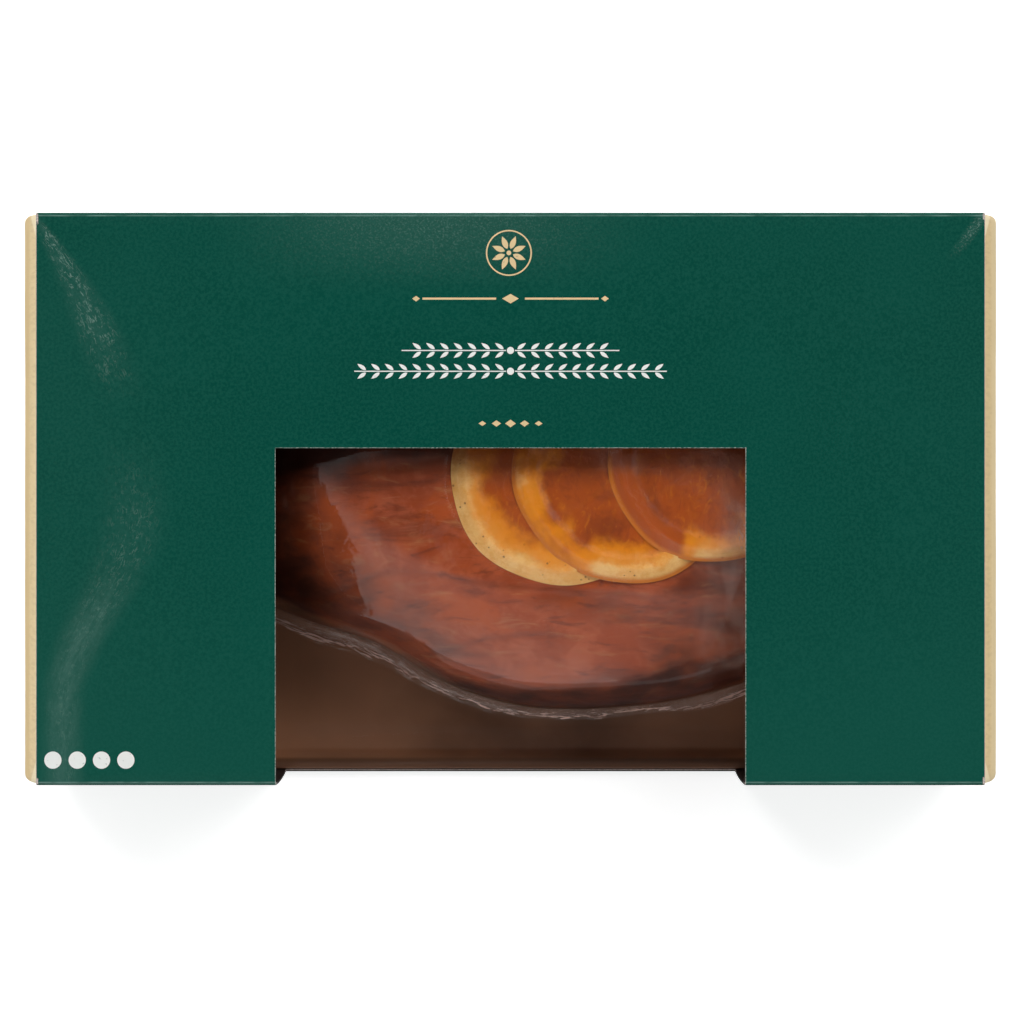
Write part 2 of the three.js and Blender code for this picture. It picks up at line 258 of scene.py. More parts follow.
class Graph:
    """Adds and links shader nodes in one node tree."""

    def __init__(self, tree: Tree, made: Material | None = None) -> None:
        """Keeps the tree that nodes are added to, and its material if it has one."""
        self.tree = tree
        self.made = made

    @classmethod
    def material(cls, name: str) -> "Graph":
        """Starts a material without any node.

        Args:
            name: The material's name.

        Returns:
            Its graph.
        """
        made = bpy.data.materials.new(name)
        made.use_nodes = True
        made.node_tree.nodes.clear()
        return cls(made.node_tree, made)

    def surface(self, shader: Socket) -> Material:
        """Links a shader to the material's output and gives the material back."""
        self.feed(self.node("ShaderNodeOutputMaterial").inputs["Surface"], shader)
        return self.made

    def node(self, kind: str, **settings: object) -> Node:
        """Adds a node.

        Args:
            kind: The node's type.
            settings: Values of its properties, by name.

        Returns:
            The node.
        """
        made = self.tree.nodes.new(kind)
        for key, value in settings.items():
            setattr(made, key, value)
        return made

    def feed(self, socket: Socket, value: object) -> None:
        """Links an input to an output, or sets its plain value.

        Args:
            socket: The input.
            value: An output, or a number, or a colour's three parts.
        """
        if isinstance(value, Socket):
            self.tree.links.new(value, socket)
        elif socket.type == "RGBA":
            socket.default_value = (*value, 1.0)
        else:
            socket.default_value = value

    def place(self) -> Socket:
        """The piece's own Object coordinates, in metres."""
        return self.node("ShaderNodeTexCoord").outputs["Object"]

    def axes(self, vector: Socket | None = None) -> tuple[Socket, Socket, Socket]:
        """Splits a vector.

        Args:
            vector: The vector, or the Object coordinates if left out.

        Returns:
            Its X, Y and Z.
        """
        split = self.node("ShaderNodeSeparateXYZ")
        self.feed(split.inputs["Vector"], vector or self.place())
        return split.outputs["X"], split.outputs["Y"], split.outputs["Z"]

    def stretched(self, scale: Colour, turn: float = 0.0) -> Socket:
        """Object coordinates for a pattern with a direction.

        Args:
            scale: Factor on each axis.
            turn: Turn about Z, in radians.

        Returns:
            The coordinates.
        """
        mapping = self.node("ShaderNodeMapping")
        mapping.inputs["Scale"].default_value = scale
        mapping.inputs["Rotation"].default_value = (0.0, 0.0, turn)
        self.feed(mapping.inputs["Vector"], self.place())
        return mapping.outputs["Vector"]

    def value(self, name: str) -> Socket:
        """A number that the mesh keeps at each corner."""
        return self.node("ShaderNodeAttribute", attribute_name=name).outputs["Fac"]

    def noise(self, scale: object, detail: float = 2.0, rough: float = 0.5,
              vector: Socket | None = None, bend: float = 0.0) -> Socket:
        """A noise field from 0 to 1.

        Args:
            scale: Cells in a metre.
            detail: Number of finer layers.
            rough: How strong the finer layers are.
            vector: Coordinates, or Object coordinates if left out.
            bend: How far the field is warped.

        Returns:
            The field's output.
        """
        made = self.node("ShaderNodeTexNoise")
        self.feed(made.inputs["Vector"], vector or self.place())
        for key, number in (("Scale", scale), ("Detail", detail), ("Roughness", rough), ("Distortion", bend)):
            self.feed(made.inputs[key], number)
        return made.outputs["Fac"]

    def cells(self, scale: float) -> Socket:
        """Distance to the nearest of scattered points.

        Args:
            scale: Points in a metre.

        Returns:
            The distance, in cells.
        """
        made = self.node("ShaderNodeTexVoronoi")
        self.feed(made.inputs["Vector"], self.place())
        made.inputs["Scale"].default_value = scale
        return made.outputs["Distance"]

    def span(self, value: object, low: float, high: float, start: float = 0.0, end: float = 1.0) -> Socket:
        """Maps a number from one span to another.

        Args:
            value: The number.
            low: Where the step begins.
            high: Where it ends.
            start: The result up to low.
            end: The result from high on.

        Returns:
            The result, by 3t^2 - 2t^3 of the share of the way.
        """
        made = self.node("ShaderNodeMapRange", interpolation_type="SMOOTHSTEP")
        self.feed(made.inputs["Value"], value)
        for key, number in (("From Min", low), ("From Max", high), ("To Min", start), ("To Max", end)):
            made.inputs[key].default_value = number
        return made.outputs["Result"]

    def fall(self, value: object, low: float, high: float) -> Socket:
        """A number's smooth fall from 1 at low to 0 at high."""
        return self.span(value, low, high, 1.0, 0.0)

    def maths(self, kind: str, first: object, second: object = 0.0) -> Socket:
        """One arithmetic step.

        Args:
            kind: The step's name.
            first: The first number.
            second: The second number, if the step takes two.

        Returns:
            The result.
        """
        made = self.node("ShaderNodeMath", operation=kind)
        self.feed(made.inputs[0], first)
        self.feed(made.inputs[1], second)
        return made.outputs["Value"]

    def times(self, first: object, second: object) -> Socket:
        """The product of two numbers."""
        return self.maths("MULTIPLY", first, second)

    def over(self, first: object, second: object) -> Socket:
        """The first number divided by the second."""
        return self.maths("DIVIDE", first, second)

    def plus(self, first: object, second: object) -> Socket:
        """The sum of two numbers."""
        return self.maths("ADD", first, second)

    def minus(self, first: object, second: object) -> Socket:
        """The first number less the second."""
        return self.maths("SUBTRACT", first, second)

    def larger(self, first: object, second: object) -> Socket:
        """The larger of two numbers."""
        return self.maths("MAXIMUM", first, second)

    def size_of(self, value: object) -> Socket:
        """A number without its sign."""
        return self.maths("ABSOLUTE", value)

    def mix(self, share: object, first: object, second: object) -> Socket:
        """Blends two colours.

        Args:
            share: How much of the second.
            first: A colour.
            second: A colour.

        Returns:
            The blend.
        """
        made = self.node("ShaderNodeMix", data_type="RGBA")
        sockets = [s for s in made.inputs if s.type == "RGBA"]
        self.feed(made.inputs["Factor"], share)
        self.feed(sockets[0], first)
        self.feed(sockets[1], second)
        return next(s for s in made.outputs if s.type == "RGBA")

    def blend(self, share: object, first: Socket, second: Socket) -> Socket:
        """Blends two shaders.

        Args:
            share: How much of the second.
            first: A shader.
            second: A shader.

        Returns:
            The blend.
        """
        made = self.node("ShaderNodeMixShader")
        for socket, value in zip(made.inputs, (share, first, second)):
            self.feed(socket, value)
        return made.outputs["Shader"]

    def bump(self, height: object, strength: float, depth: float) -> Socket:
        """A normal tilted by a height field.

        Args:
            height: The field.
            strength: Share of the full effect.
            depth: Height of a field of 1, in millimetres.

        Returns:
            The normal.
        """
        made = self.node("ShaderNodeBump")
        self.feed(made.inputs["Height"], height)
        made.inputs["Strength"].default_value = strength
        made.inputs["Distance"].default_value = depth * MM
        return made.outputs["Normal"]

    def principled(self, **inputs: object) -> Socket:
        """A Principled shader.

        Args:
            inputs: Its inputs, with spaces in their names as underscores.

        Returns:
            The shader.
        """
        made = self.node("ShaderNodeBsdfPrincipled")
        for key, value in inputs.items():
            self.feed(made.inputs[key.replace("_", " ")], value)
        return made.outputs["BSDF"]

    def group(self, tree: Tree) -> Node:
        """Places a shared node group."""
        return self.node("ShaderNodeGroup", node_tree=tree)


def shared_group(name: str, **usual: float) -> tuple[Graph, Node]:
    """Starts a shader node group with number inputs.

    Args:
        name: The group's name.
        usual: Each input's usual value, by its name.

    Returns:
        The graph and the node that gives the inputs.
    """
    graph = Graph(bpy.data.node_groups.new(name, "ShaderNodeTree"))
    for key, number in usual.items():
        socket = graph.tree.interface.new_socket(name=key, in_out="INPUT", socket_type="NodeSocketFloat")
        socket.default_value = number
    return graph, graph.node("NodeGroupInput")


def close_group(graph: Graph, **outputs: Socket) -> Tree:
    """Gives a shader node group its number outputs.

    Args:
        graph: The group's graph.
        outputs: What each output gives, by its name.

    Returns:
        The group.
    """
    for key in outputs:
        graph.tree.interface.new_socket(name=key, in_out="OUTPUT", socket_type="NodeSocketFloat")
    out = graph.node("NodeGroupOutput")
    for key, value in outputs.items():
        graph.feed(out.inputs[key], value)
    return graph.tree


def pressed_board_group() -> Tree:
    """The fine unevenness of laminated board: orange peel and a broad ripple.

    Returns:
        The group, with output Height.
    """
    graph, given = shared_group("pressed_board", Peel=1400.0, Ripple=90.0)
    peel = graph.noise(given.outputs["Peel"])
    ripple = graph.noise(given.outputs["Ripple"], 3.0)
    return close_group(graph, Height=graph.plus(graph.times(ripple, 1.2), peel))


def paper_fibre_group() -> Tree:
    """The torn fibres of cut or unprinted board.

    Returns:
        The group, with outputs Height and Tone.
    """
    graph, given = shared_group("paper_fibre", Fibre=2600.0)
    fine = graph.noise(given.outputs["Fibre"], 4.0)
    return close_group(graph, Height=fine, Tone=graph.span(fine, 0.3, 0.72))


def meat_grain_group() -> Tree:
    """The grain of the ham's surface.

    Returns:
        The group, with outputs Fibre (long strands), Patch (broad mottling) and Height.
    """
    graph, given = shared_group("meat_grain", Strands=300.0)
    fibre = graph.noise(given.outputs["Strands"], 5.0, 0.62, graph.stretched((0.3, 1.0, 1.0), 0.12), 0.7)
    patch = graph.noise(85.0, 6.0, 0.62, bend=0.5)
    lumps = graph.noise(130.0, 3.0, 0.55, bend=0.4)
    return close_group(graph, Fibre=fibre, Patch=patch, Height=graph.plus(graph.times(fibre, 0.35), lumps))


# ---- Finishes ----


@dataclass(frozen=True)
class GreenBoard:
    """Deep green print under gloss lamination, paler along its creases from wear and painted highlight, with
    painted sheen towards the front and painted glints and bloom on a strained arc.
    """

    shared: Tree
    form: "CartonForm"
    crease_band: tuple[float, float, float, float] = (1.25, 1.05, 0.85, 0.65)
    cut_fuzz: tuple[float, float] = (0.10, 0.32)
    base: Colour = (0.0, 0.058, 0.039)
    pale: Colour = (0.0005, 0.064, 0.044)
    grain: Colour = (0.006, 0.084, 0.060)
    wear_and_sheen: Colour = (0.10, 0.20, 0.17)
    crackle_glint: Colour = (0.24, 0.36, 0.31)
    fibre: Colour = (0.36, 0.42, 0.38)
    roughness: float = 0.17

    def material(self) -> Material:
        """Builds the finish.

        Returns:
            The material: print with faint mottling, paler lines where the board folds that are part wear and
                part painted highlight, painted sheen towards the front, and painted glints and bloom where
                the panel was stressed.
        """
        form = self.form
        graph = Graph.material("green_board")
        board = graph.group(self.shared)
        mottle = graph.span(graph.noise(28.0, 3.0), 0.35, 0.7)
        colour = graph.mix(mottle, self.base, self.pale)
        x, y, z = graph.axes()
        side = graph.size_of(y)
        begun, full, fading, gone = ((form.half_width - inset) * MM for inset in self.crease_band)
        crease = graph.times(graph.span(side, begun, full), graph.fall(side, fading, gone))
        level = graph.size_of(graph.minus(z, form.height / 2 * MM))
        near = graph.span(level, (form.height / 2 - 1.4) * MM, (form.height / 2 - 0.5) * MM)
        fold = graph.times(crease, near)
        patchy = graph.span(graph.noise(160.0, 4.0), 0.36, 0.62, 0.3, 1.0)
        speckle = graph.span(graph.noise(1100.0, 3.0, 0.75), 0.38, 0.62, 0.0, 0.7)
        colour = graph.mix(speckle, colour, self.grain)
        # painted sheen: the front of the panel is lightened towards the grain colour, where the lamps' gloss
        # falls
        colour = graph.mix(graph.span(y, -0.085, 0.0, 0.45, 0.0), colour, self.grain)
        # paler crease lines: part wear of the print, part painted highlight on the crease's rounding
        colour = graph.mix(graph.times(fold, patchy), colour, self.wear_and_sheen)
        # painted highlights: glints and a bloom of sheen on the strained top panel, lightening its colour
        crackle_glints, glow = self.strain(graph, x, y, z)
        colour = graph.mix(graph.times(glow, 0.34), colour, self.wear_and_sheen)
        colour = graph.mix(graph.times(crackle_glints, 0.55), colour, self.crackle_glint)
        past_side = graph.minus(graph.size_of(x), form.window_half * MM)
        past_back = graph.minus(y, form.window_back * MM)
        under_sill = graph.minus(form.sill * MM, z)
        past = graph.larger(graph.larger(past_side, past_back), under_sill)
        near_cut, off_cut = (reach * MM for reach in self.cut_fuzz)
        fuzz = graph.times(graph.fall(past, near_cut, off_cut),
                           graph.span(graph.noise(1500.0, 3.0), 0.4, 0.6, 0.1, 0.9))
        colour = graph.mix(fuzz, colour, self.fibre)
        height = graph.plus(board.outputs["Height"], graph.times(crackle_glints, 1.5))
        return graph.surface(graph.principled(
            Base_Color=colour, Roughness=self.roughness, Specular_IOR_Level=0.5,
            Normal=graph.bump(height, 0.35, 0.02),
        ))

    def strain(self, graph: Graph, x: Socket, y: Socket, z: Socket) -> tuple[Socket, Socket]:
        """Painted highlights where the top panel was stressed: glints on a fine crackle and a soft bloom of
        painted sheen, along an arc from a corner, with more painted sheen by the back edge and a crackle in
        the back right corner.

        Args:
            graph: The material's graph.
            x: Place across the carton.
            y: Place front to back.
            z: Height.

        Returns:
            Masks of the painted glints and of the painted bloom. Behind the bulge the arc is x = a + b(1 -
            t^2), with t the share of the way to the back edge, and in front of it x eases back by a smooth
            step.
        """
        share = graph.maths("POWER", graph.over(graph.larger(graph.plus(y, 0.003), 0.0), 0.091), 2.0)
        share = graph.minus(1.0, share)
        drop = graph.span(y, -0.065, -0.003, 0.0225, 0.0)
        aside = graph.minus(x, graph.minus(graph.plus(graph.times(share, 0.031), -0.1485), drop))
        broad = graph.times(share, graph.span(y, -0.065, -0.003, 0.5, 1.0))
        off = graph.over(graph.size_of(aside), graph.plus(graph.times(broad, 0.008), 0.0016))
        corner = graph.span(y, 0.028, 0.06)
        middle = graph.fall(graph.size_of(graph.plus(y, 0.014)), 0.0, 0.038)
        fore = graph.fall(y, -0.045, -0.018)
        top = graph.span(z, (self.form.height - 1.0) * MM, (self.form.height - 0.6) * MM)

        nook = graph.size_of(graph.minus(graph.plus(x, graph.times(y, -0.75)), 0.0815))
        nook = graph.times(graph.fall(nook, 0.0, 0.0032), graph.span(y, 0.074, 0.086))
        nook = graph.times(nook, graph.span(x, 0.10, 0.12))
        sheen = graph.fall(graph.size_of(graph.plus(x, 0.024)), 0.0, 0.075)
        sheen = graph.times(sheen, graph.span(y, 0.062, 0.087))

        along = graph.node("ShaderNodeCombineXYZ")
        graph.feed(along.inputs["X"], aside)
        graph.feed(along.inputs["Y"], graph.times(y, 0.3))
        crackle = graph.noise(900.0, 3.0, 0.6, along.outputs["Vector"], 0.7)
        ridge = graph.fall(graph.size_of(graph.minus(crackle, 0.5)), 0.004, 0.045)
        broken = graph.span(graph.noise(480.0, 3.0, 0.65), 0.42, 0.62)
        lines = graph.times(graph.times(ridge, broken), graph.fall(off, 0.2, 1.2))
        fade = graph.plus(graph.plus(corner, graph.times(middle, 0.4)), graph.times(fore, 0.2))
        fine = graph.span(graph.noise(1500.0, 3.0, 0.7), 0.5, 0.66)
        fine = graph.times(graph.larger(nook, graph.times(sheen, 0.3)), fine)
        lines = graph.larger(graph.times(lines, fade), fine)

        bloom = graph.plus(graph.plus(graph.times(corner, 0.55), graph.times(middle, 0.3)), fore)
        cloud = graph.span(graph.noise(420.0, 4.0, 0.7, along.outputs["Vector"]), 0.3, 0.7, 0.45, 1.0)
        cloud = graph.times(graph.fall(off, 0.0, 1.5), cloud)
        cloud = graph.larger(graph.times(cloud, bloom), graph.times(graph.larger(nook, sheen), 0.45))
        return graph.times(lines, top), graph.times(cloud, top)


@dataclass(frozen=True)
class GoldBoard:
    """Satin gold print on the end flaps."""

    shared: Tree
    base: Colour = (0.72, 0.54, 0.27)
    pale: Colour = (0.80, 0.615, 0.325)
    bright: Colour = (0.96, 0.86, 0.62)
    shade: Colour = (0.50, 0.36, 0.17)
    facet_from: float = 81.1
    crease_at: float = 148.2
    metal: float = 0.1

    def material(self) -> Material:
        """Builds the finish.

        Returns:
            The material: gold with faint streaks and fine peel, painted light on the half of each flap that
                faces the right, painted highlights on the corner facets and painted shade in small pleats
                near the top.
        """
        graph = Graph.material("gold_board")
        board = graph.group(self.shared)
        broad = graph.span(graph.noise(60.0, 2.0), 0.35, 0.7, 0.2, 0.4)
        brushed = graph.noise(650.0, 2.0, vector=graph.stretched((1.0, 0.012, 1.0)))
        streaks = graph.span(brushed, 0.3, 0.7, -0.14, 0.24)
        colour = graph.mix(graph.plus(broad, streaks), self.base, self.pale)
        x, y, z = graph.axes()
        side = graph.size_of(y)
        outward = graph.minus(graph.size_of(x), self.crease_at * MM)
        past = graph.minus(graph.minus(side, self.facet_from * MM), graph.times(outward, 2.7))
        # painted light: the half of each flap that faces the right is lightened, the inner half on the left
        # end and the outer half on the right end
        over = graph.span(outward, 0.0022, 0.0036)
        right = graph.span(x, -0.01, 0.01)
        lit = graph.size_of(graph.minus(graph.minus(1.0, over), right))
        colour = graph.mix(graph.times(lit, 0.22), colour, self.bright)
        # painted shade: dark lines in small pleats near the top
        pleats = graph.noise(900.0, 3.0, 0.6, graph.stretched((0.15, 1.0, 0.15)))
        pleats = graph.times(graph.span(pleats, 0.42, 0.66, 0.0, 0.3), graph.span(z, 0.070, 0.080))
        colour = graph.mix(pleats, colour, self.shade)
        # painted highlight on the corner facets
        facet = graph.times(graph.span(past, 0.0, 0.0005), graph.span(z, 0.070, 0.076))
        colour = graph.mix(graph.times(facet, 0.6), colour, self.bright)
        return graph.surface(graph.principled(
            Base_Color=colour, Metallic=self.metal, Roughness=0.4,
            Normal=graph.bump(board.outputs["Height"], 0.3, 0.02),
        ))


@dataclass(frozen=True)
class PlainBoard:
    """Unprinted or cut board, with paper fibres."""

    shared: Tree
    name: str
    dark: Colour
    light: Colour
    roughness: float = 0.8
    dark_from: float = 1000.0
    dark_edge: Colour = (0.020, 0.022, 0.020)

    def material(self) -> Material:
        """Builds the finish.

        Returns:
            The material: fibres, with the print's dark edge in front of a distance.
        """
        graph = Graph.material(self.name)
        fibre = graph.group(self.shared)
        _, y, _ = graph.axes()
        # darker outer strip of the cut face, in front of a distance
        outer = graph.fall(y, -(self.dark_from + 0.1) * MM, (0.1 - self.dark_from) * MM)
        colour = graph.mix(fibre.outputs["Tone"], self.dark, self.light)
        return graph.surface(graph.principled(
            Base_Color=graph.mix(outer, colour, self.dark_edge), Roughness=self.roughness,
            Normal=graph.bump(fibre.outputs["Height"], 0.5, 0.05),
        ))


@dataclass(frozen=True)
class Ink:
    """A thin printed layer, with small voids where the board shows through."""

    shared: Tree
    name: str
    base: Colour
    void: Colour
    metal: float
    roughness: float

    def material(self) -> Material:
        """Builds the finish.

        Returns:
            The material.
        """
        graph = Graph.material(self.name)
        board = graph.group(self.shared)
        voids = graph.span(graph.noise(900.0, 2.0), 0.66, 0.74, 0.0, 0.4)
        return graph.surface(graph.principled(
            Base_Color=graph.mix(voids, self.base, self.void), Metallic=self.metal, Roughness=self.roughness,
            Normal=graph.bump(board.outputs["Height"], 0.3, 0.02),
        ))


@dataclass(frozen=True)
class BrownTray:
    """Glossy dark brown moulded plastic."""

    base: Colour = (0.122, 0.046, 0.019)
    pale: Colour = (0.370, 0.165, 0.085)
    rim: Colour = (0.095, 0.040, 0.020)

    def material(self) -> Material:
        """Builds the finish.

        Returns:
            The material: cloudy brown, paler towards the sides and darker in the middle in front of the ham
                by painted shade, with a faint moulded texture.
        """
        graph = Graph.material("brown_tray")
        x, _, z = graph.axes()
        # painted shade: darker in the middle, in front of the ham, and paler towards the sides
        aside = graph.size_of(graph.minus(x, 0.012))
        cloud = graph.span(graph.noise(26.0, 4.0, 0.55), 0.15, 0.85, -0.3, 0.3)
        cloud = graph.plus(cloud, graph.span(aside, 0.01, 0.065, 0.25, 1.0))
        colour = graph.mix(cloud, self.base, self.pale)
        colour = graph.mix(graph.span(z, 0.0045, 0.006, 0.0, 0.8), colour, self.rim)
        return graph.surface(graph.principled(
            Base_Color=colour,
            Roughness=0.33,
            Normal=graph.bump(graph.noise(420.0, 2.0), 0.3, 0.05),
        ))


@dataclass(frozen=True)
class GlazedMeat:
    """Baked ham glazed with caramel: amber and rose on top, dark and sticky down the flanks, with painted
    shade darkening it further.
    """

    shared: Tree
    top: Colour = (0.345, 0.056, 0.010)
    rose: Colour = (0.440, 0.092, 0.030)
    amber: Colour = (0.455, 0.075, 0.006)
    umber: Colour = (0.150, 0.026, 0.008)
    burnt_and_shade: Colour = (0.036, 0.007, 0.003)
    fat: Colour = (0.50, 0.20, 0.075)

    def material(self) -> Material:
        """Builds the finish.

        Returns:
            The material: colour darkened by the kept value of caramel and painted shade, with mottling,
                strands and fibre relief.
        """
        graph = Graph.material("glazed_meat")
        grain = graph.group(self.shared)
        fibre, patch = grain.outputs["Fibre"], grain.outputs["Patch"]
        colour = graph.mix(graph.span(patch, 0.42, 0.62), self.top, self.rose)
        warm = graph.noise(34.0, 5.0, 0.6, bend=0.6)
        colour = graph.mix(graph.span(warm, 0.47, 0.62, 0.0, 0.8), colour, self.amber)
        cool = graph.noise(70.0, 6.0, 0.62, vector=graph.stretched((0.32, 1.0, 1.0), 0.12), bend=0.8)
        colour = graph.mix(graph.span(cool, 0.48, 0.66, 0.0, 0.62), colour, self.umber)
        colour = graph.mix(graph.span(fibre, 0.54, 0.76, 0.0, 0.48), colour, self.fat)
        colour = graph.mix(graph.span(fibre, 0.28, 0.46, 0.62, 0.0), colour, self.umber)
        colour = graph.mix(graph.times(graph.value("seam"), 0.38), colour, self.umber)
        glaze_and_shade = graph.plus(graph.value("glaze_and_shade"), graph.span(patch, 0.3, 0.7, -0.1, 0.1))
        # the kept value darkens the colour both for caramel and for painted shade
        colour = graph.mix(graph.span(glaze_and_shade, 0.1, 1.0), colour, self.burnt_and_shade)
        return graph.surface(graph.principled(
            Base_Color=colour, Roughness=0.42, Specular_IOR_Level=0.3, Subsurface_Weight=0.1,
            Subsurface_Radius=(1.0, 0.35, 0.15), Subsurface_Scale=0.003,
            Normal=graph.bump(grain.outputs["Height"], 0.5, 0.3),
        ))


@dataclass(frozen=True)
class GlazedOrange:
    """A baked orange slice: thin peel, pale spongy pith and translucent amber flesh."""

    peel: Colour = (0.64, 0.17, 0.012)
    pith: Colour = (0.94, 0.54, 0.190)
    pith_shade: Colour = (0.86, 0.41, 0.105)
    gold: Colour = (0.82, 0.255, 0.004)
    flesh: Colour = (0.44, 0.080, 0.006)
    deep: Colour = (0.22, 0.036, 0.006)
    speck: Colour = (0.26, 0.08, 0.02)

    def material(self) -> Material:
        """Builds the finish.

        Returns:
            The material: rings by the kept share of the radius, blurred by noise, with painted shadow
                darkening the back of each slice.
        """
        graph = Graph.material("glazed_orange")
        waver = graph.times(graph.minus(graph.noise(95.0, 5.0, 0.65), 0.5), 0.30)
        ring = graph.plus(graph.value("ring"), waver)
        vesicle = graph.noise(330.0, 4.0, 0.6, vector=graph.stretched((1.0, 0.6, 1.0), 0.7), bend=1.2)
        broad = graph.noise(75.0, 4.0, 0.6, bend=0.6)
        flesh = graph.mix(graph.span(broad, 0.30, 0.55, 0.35, 1.0), self.deep, self.flesh)
        flesh = graph.mix(graph.span(vesicle, 0.34, 0.5, 0.3, 0.0), flesh, self.deep)
        flesh = graph.mix(graph.span(vesicle, 0.55, 0.72, 0.0, 0.3), flesh, self.gold)
        flesh = graph.mix(graph.times(graph.value("membrane"), 0.05), flesh, self.gold)
        patch = graph.span(graph.noise(60.0, 2.0), 0.36, 0.52)
        fringe = graph.times(graph.span(ring, 0.57, 0.73), patch)
        fringe = graph.times(fringe, graph.span(graph.value("soak"), 0.6, 1.0, 1.0, 0.1))
        flesh = graph.mix(fringe, flesh, self.gold)
        cloud = graph.span(graph.noise(170.0, 5.0, 0.7), 0.36, 0.62)
        pith = graph.mix(cloud, self.pith_shade, self.pith)
        grit = graph.span(graph.noise(1300.0, 2.0, 0.6), 0.36, 0.5, 0.35, 0.0)
        pith = graph.mix(grit, pith, self.pith_shade)
        stain = graph.span(graph.noise(52.0, 3.0), 0.5, 0.66, 0.0, 0.7)
        pith = graph.mix(graph.times(stain, graph.span(ring, 0.95, 0.8)), pith, self.gold)
        pith = graph.mix(graph.span(ring, 0.80, 0.90, 0.75, 0.0), pith, self.gold)
        dots = graph.span(graph.cells(420.0), 0.10, 0.2, 0.8, 0.0)
        sparse = graph.span(graph.noise(150.0, 1.0), 0.5, 0.58)
        pith = graph.mix(graph.times(dots, sparse), pith, self.speck)
        soak = graph.plus(graph.value("soak"), graph.span(graph.noise(70.0, 4.0), 0.3, 0.7, -0.25, 0.25))
        pith = graph.mix(graph.span(soak, 0.15, 0.55), pith, self.gold)
        pith = graph.mix(graph.span(soak, 0.55, 1.0), pith, self.flesh)
        colour = graph.mix(graph.span(ring, 0.69, 0.82), flesh, pith)
        colour = graph.mix(graph.span(graph.value("ring"), 0.94, 0.985), colour, self.peel)
        _, y, _ = graph.axes()
        # painted shadow: the slices darken towards the back, under the carton's top panel
        back = graph.plus(y, graph.span(broad, 0.3, 0.7, -0.004, 0.004))
        colour = graph.mix(graph.span(back, 0.002, 0.019, 0.0, 0.8), colour, self.deep)
        height = graph.plus(vesicle, graph.times(graph.noise(900.0, 3.0), 0.6))
        return graph.surface(graph.principled(
            Base_Color=colour, Roughness=0.3, Subsurface_Weight=0.2, Subsurface_Radius=(1.0, 0.5, 0.15),
            Subsurface_Scale=0.003, Normal=graph.bump(height, 0.5, 0.35),
        ))


@dataclass(frozen=True)
class ClearFilm:
    """Thin shrunk film: clear and glossy, clinging to the meat, and milky where it is puckered."""

    haze_and_sheen: Colour = (0.92, 0.61, 0.51)
    index: float = 1.5
    roughness: float = 0.045

    def material(self) -> Material:
        """Builds the finish.

        Returns:
            The material: see-through, with a mirror layer by Fresnel and a milky layer by the kept values,
                which stands partly for painted sheen.
        """
        graph = Graph.material("clear_film")
        around = graph.node("ShaderNodeAttribute", attribute_name="rim").outputs["Vector"]
        streak = graph.noise(300.0, 4.0, 0.6, vector=around, bend=0.35)
        fine = graph.noise(760.0, 2.0, 0.5, vector=around, bend=0.3)
        thread = graph.fall(graph.size_of(graph.minus(streak, 0.5)), 0.0, 0.05)
        thread = graph.times(thread, graph.span(fine, 0.38, 0.56, 0.15, 1.0))
        ragged = graph.plus(graph.value("across"), graph.span(streak, 0.25, 0.75, -0.22, 0.22))
        lip = graph.times(graph.span(ragged, 0.62, 0.84), graph.fall(ragged, 0.90, 0.99))
        within = graph.times(graph.span(ragged, 0.0, 0.25), graph.fall(ragged, 0.92, 1.0))
        lip = graph.times(lip, graph.span(fine, 0.34, 0.54, 0.25, 1.0))
        stretch = graph.noise(150.0, 3.0, 0.55, vector=graph.stretched((1.0, 0.4, 1.0), 0.5), bend=1.0)
        lumps = graph.times(graph.noise(130.0, 2.0, 0.5, bend=0.4), 0.55)
        lumps = graph.plus(lumps, graph.times(stretch, 0.12))
        cling = graph.times(lumps, graph.value("cling"))
        relief = graph.plus(cling, graph.times(streak, graph.value("pucker")))
        normal = graph.bump(relief, 0.3, 0.45)
        cloudy = graph.times(graph.value("haze_and_sheen"), graph.span(stretch, 0.35, 0.66, 0.35, 1.0))
        lines = graph.larger(graph.times(thread, 0.6), lip)
        threads = graph.times(graph.value("pucker"), graph.larger(lines, 0.19))
        threads = graph.times(threads, within)
        milk = graph.larger(cloudy, threads)
        milky = graph.node("ShaderNodeBsdfDiffuse")
        gloss = graph.node("ShaderNodeBsdfGlossy")
        fresnel = graph.node("ShaderNodeFresnel")
        for made in (milky, gloss, fresnel):
            graph.feed(made.inputs["Normal"], normal)
        graph.feed(milky.inputs["Color"], self.haze_and_sheen)
        gloss.inputs["Roughness"].default_value = self.roughness
        backfacing = graph.node("ShaderNodeNewGeometry").outputs["Backfacing"]
        power = graph.plus(graph.times(backfacing, -2.0), 1.0)
        graph.feed(fresnel.inputs["IOR"], graph.maths("POWER", self.index, power))
        clear = graph.node("ShaderNodeBsdfTransparent").outputs["BSDF"]
        body = graph.blend(milk, clear, milky.outputs["BSDF"])
        shine = graph.span(graph.value("calm"), 0.0, 1.0, 1.0, 0.25)
        mirror = graph.times(fresnel.outputs["Fac"], shine)
        return graph.surface(graph.blend(mirror, body, gloss.outputs["BSDF"]))


# ---- The food ----


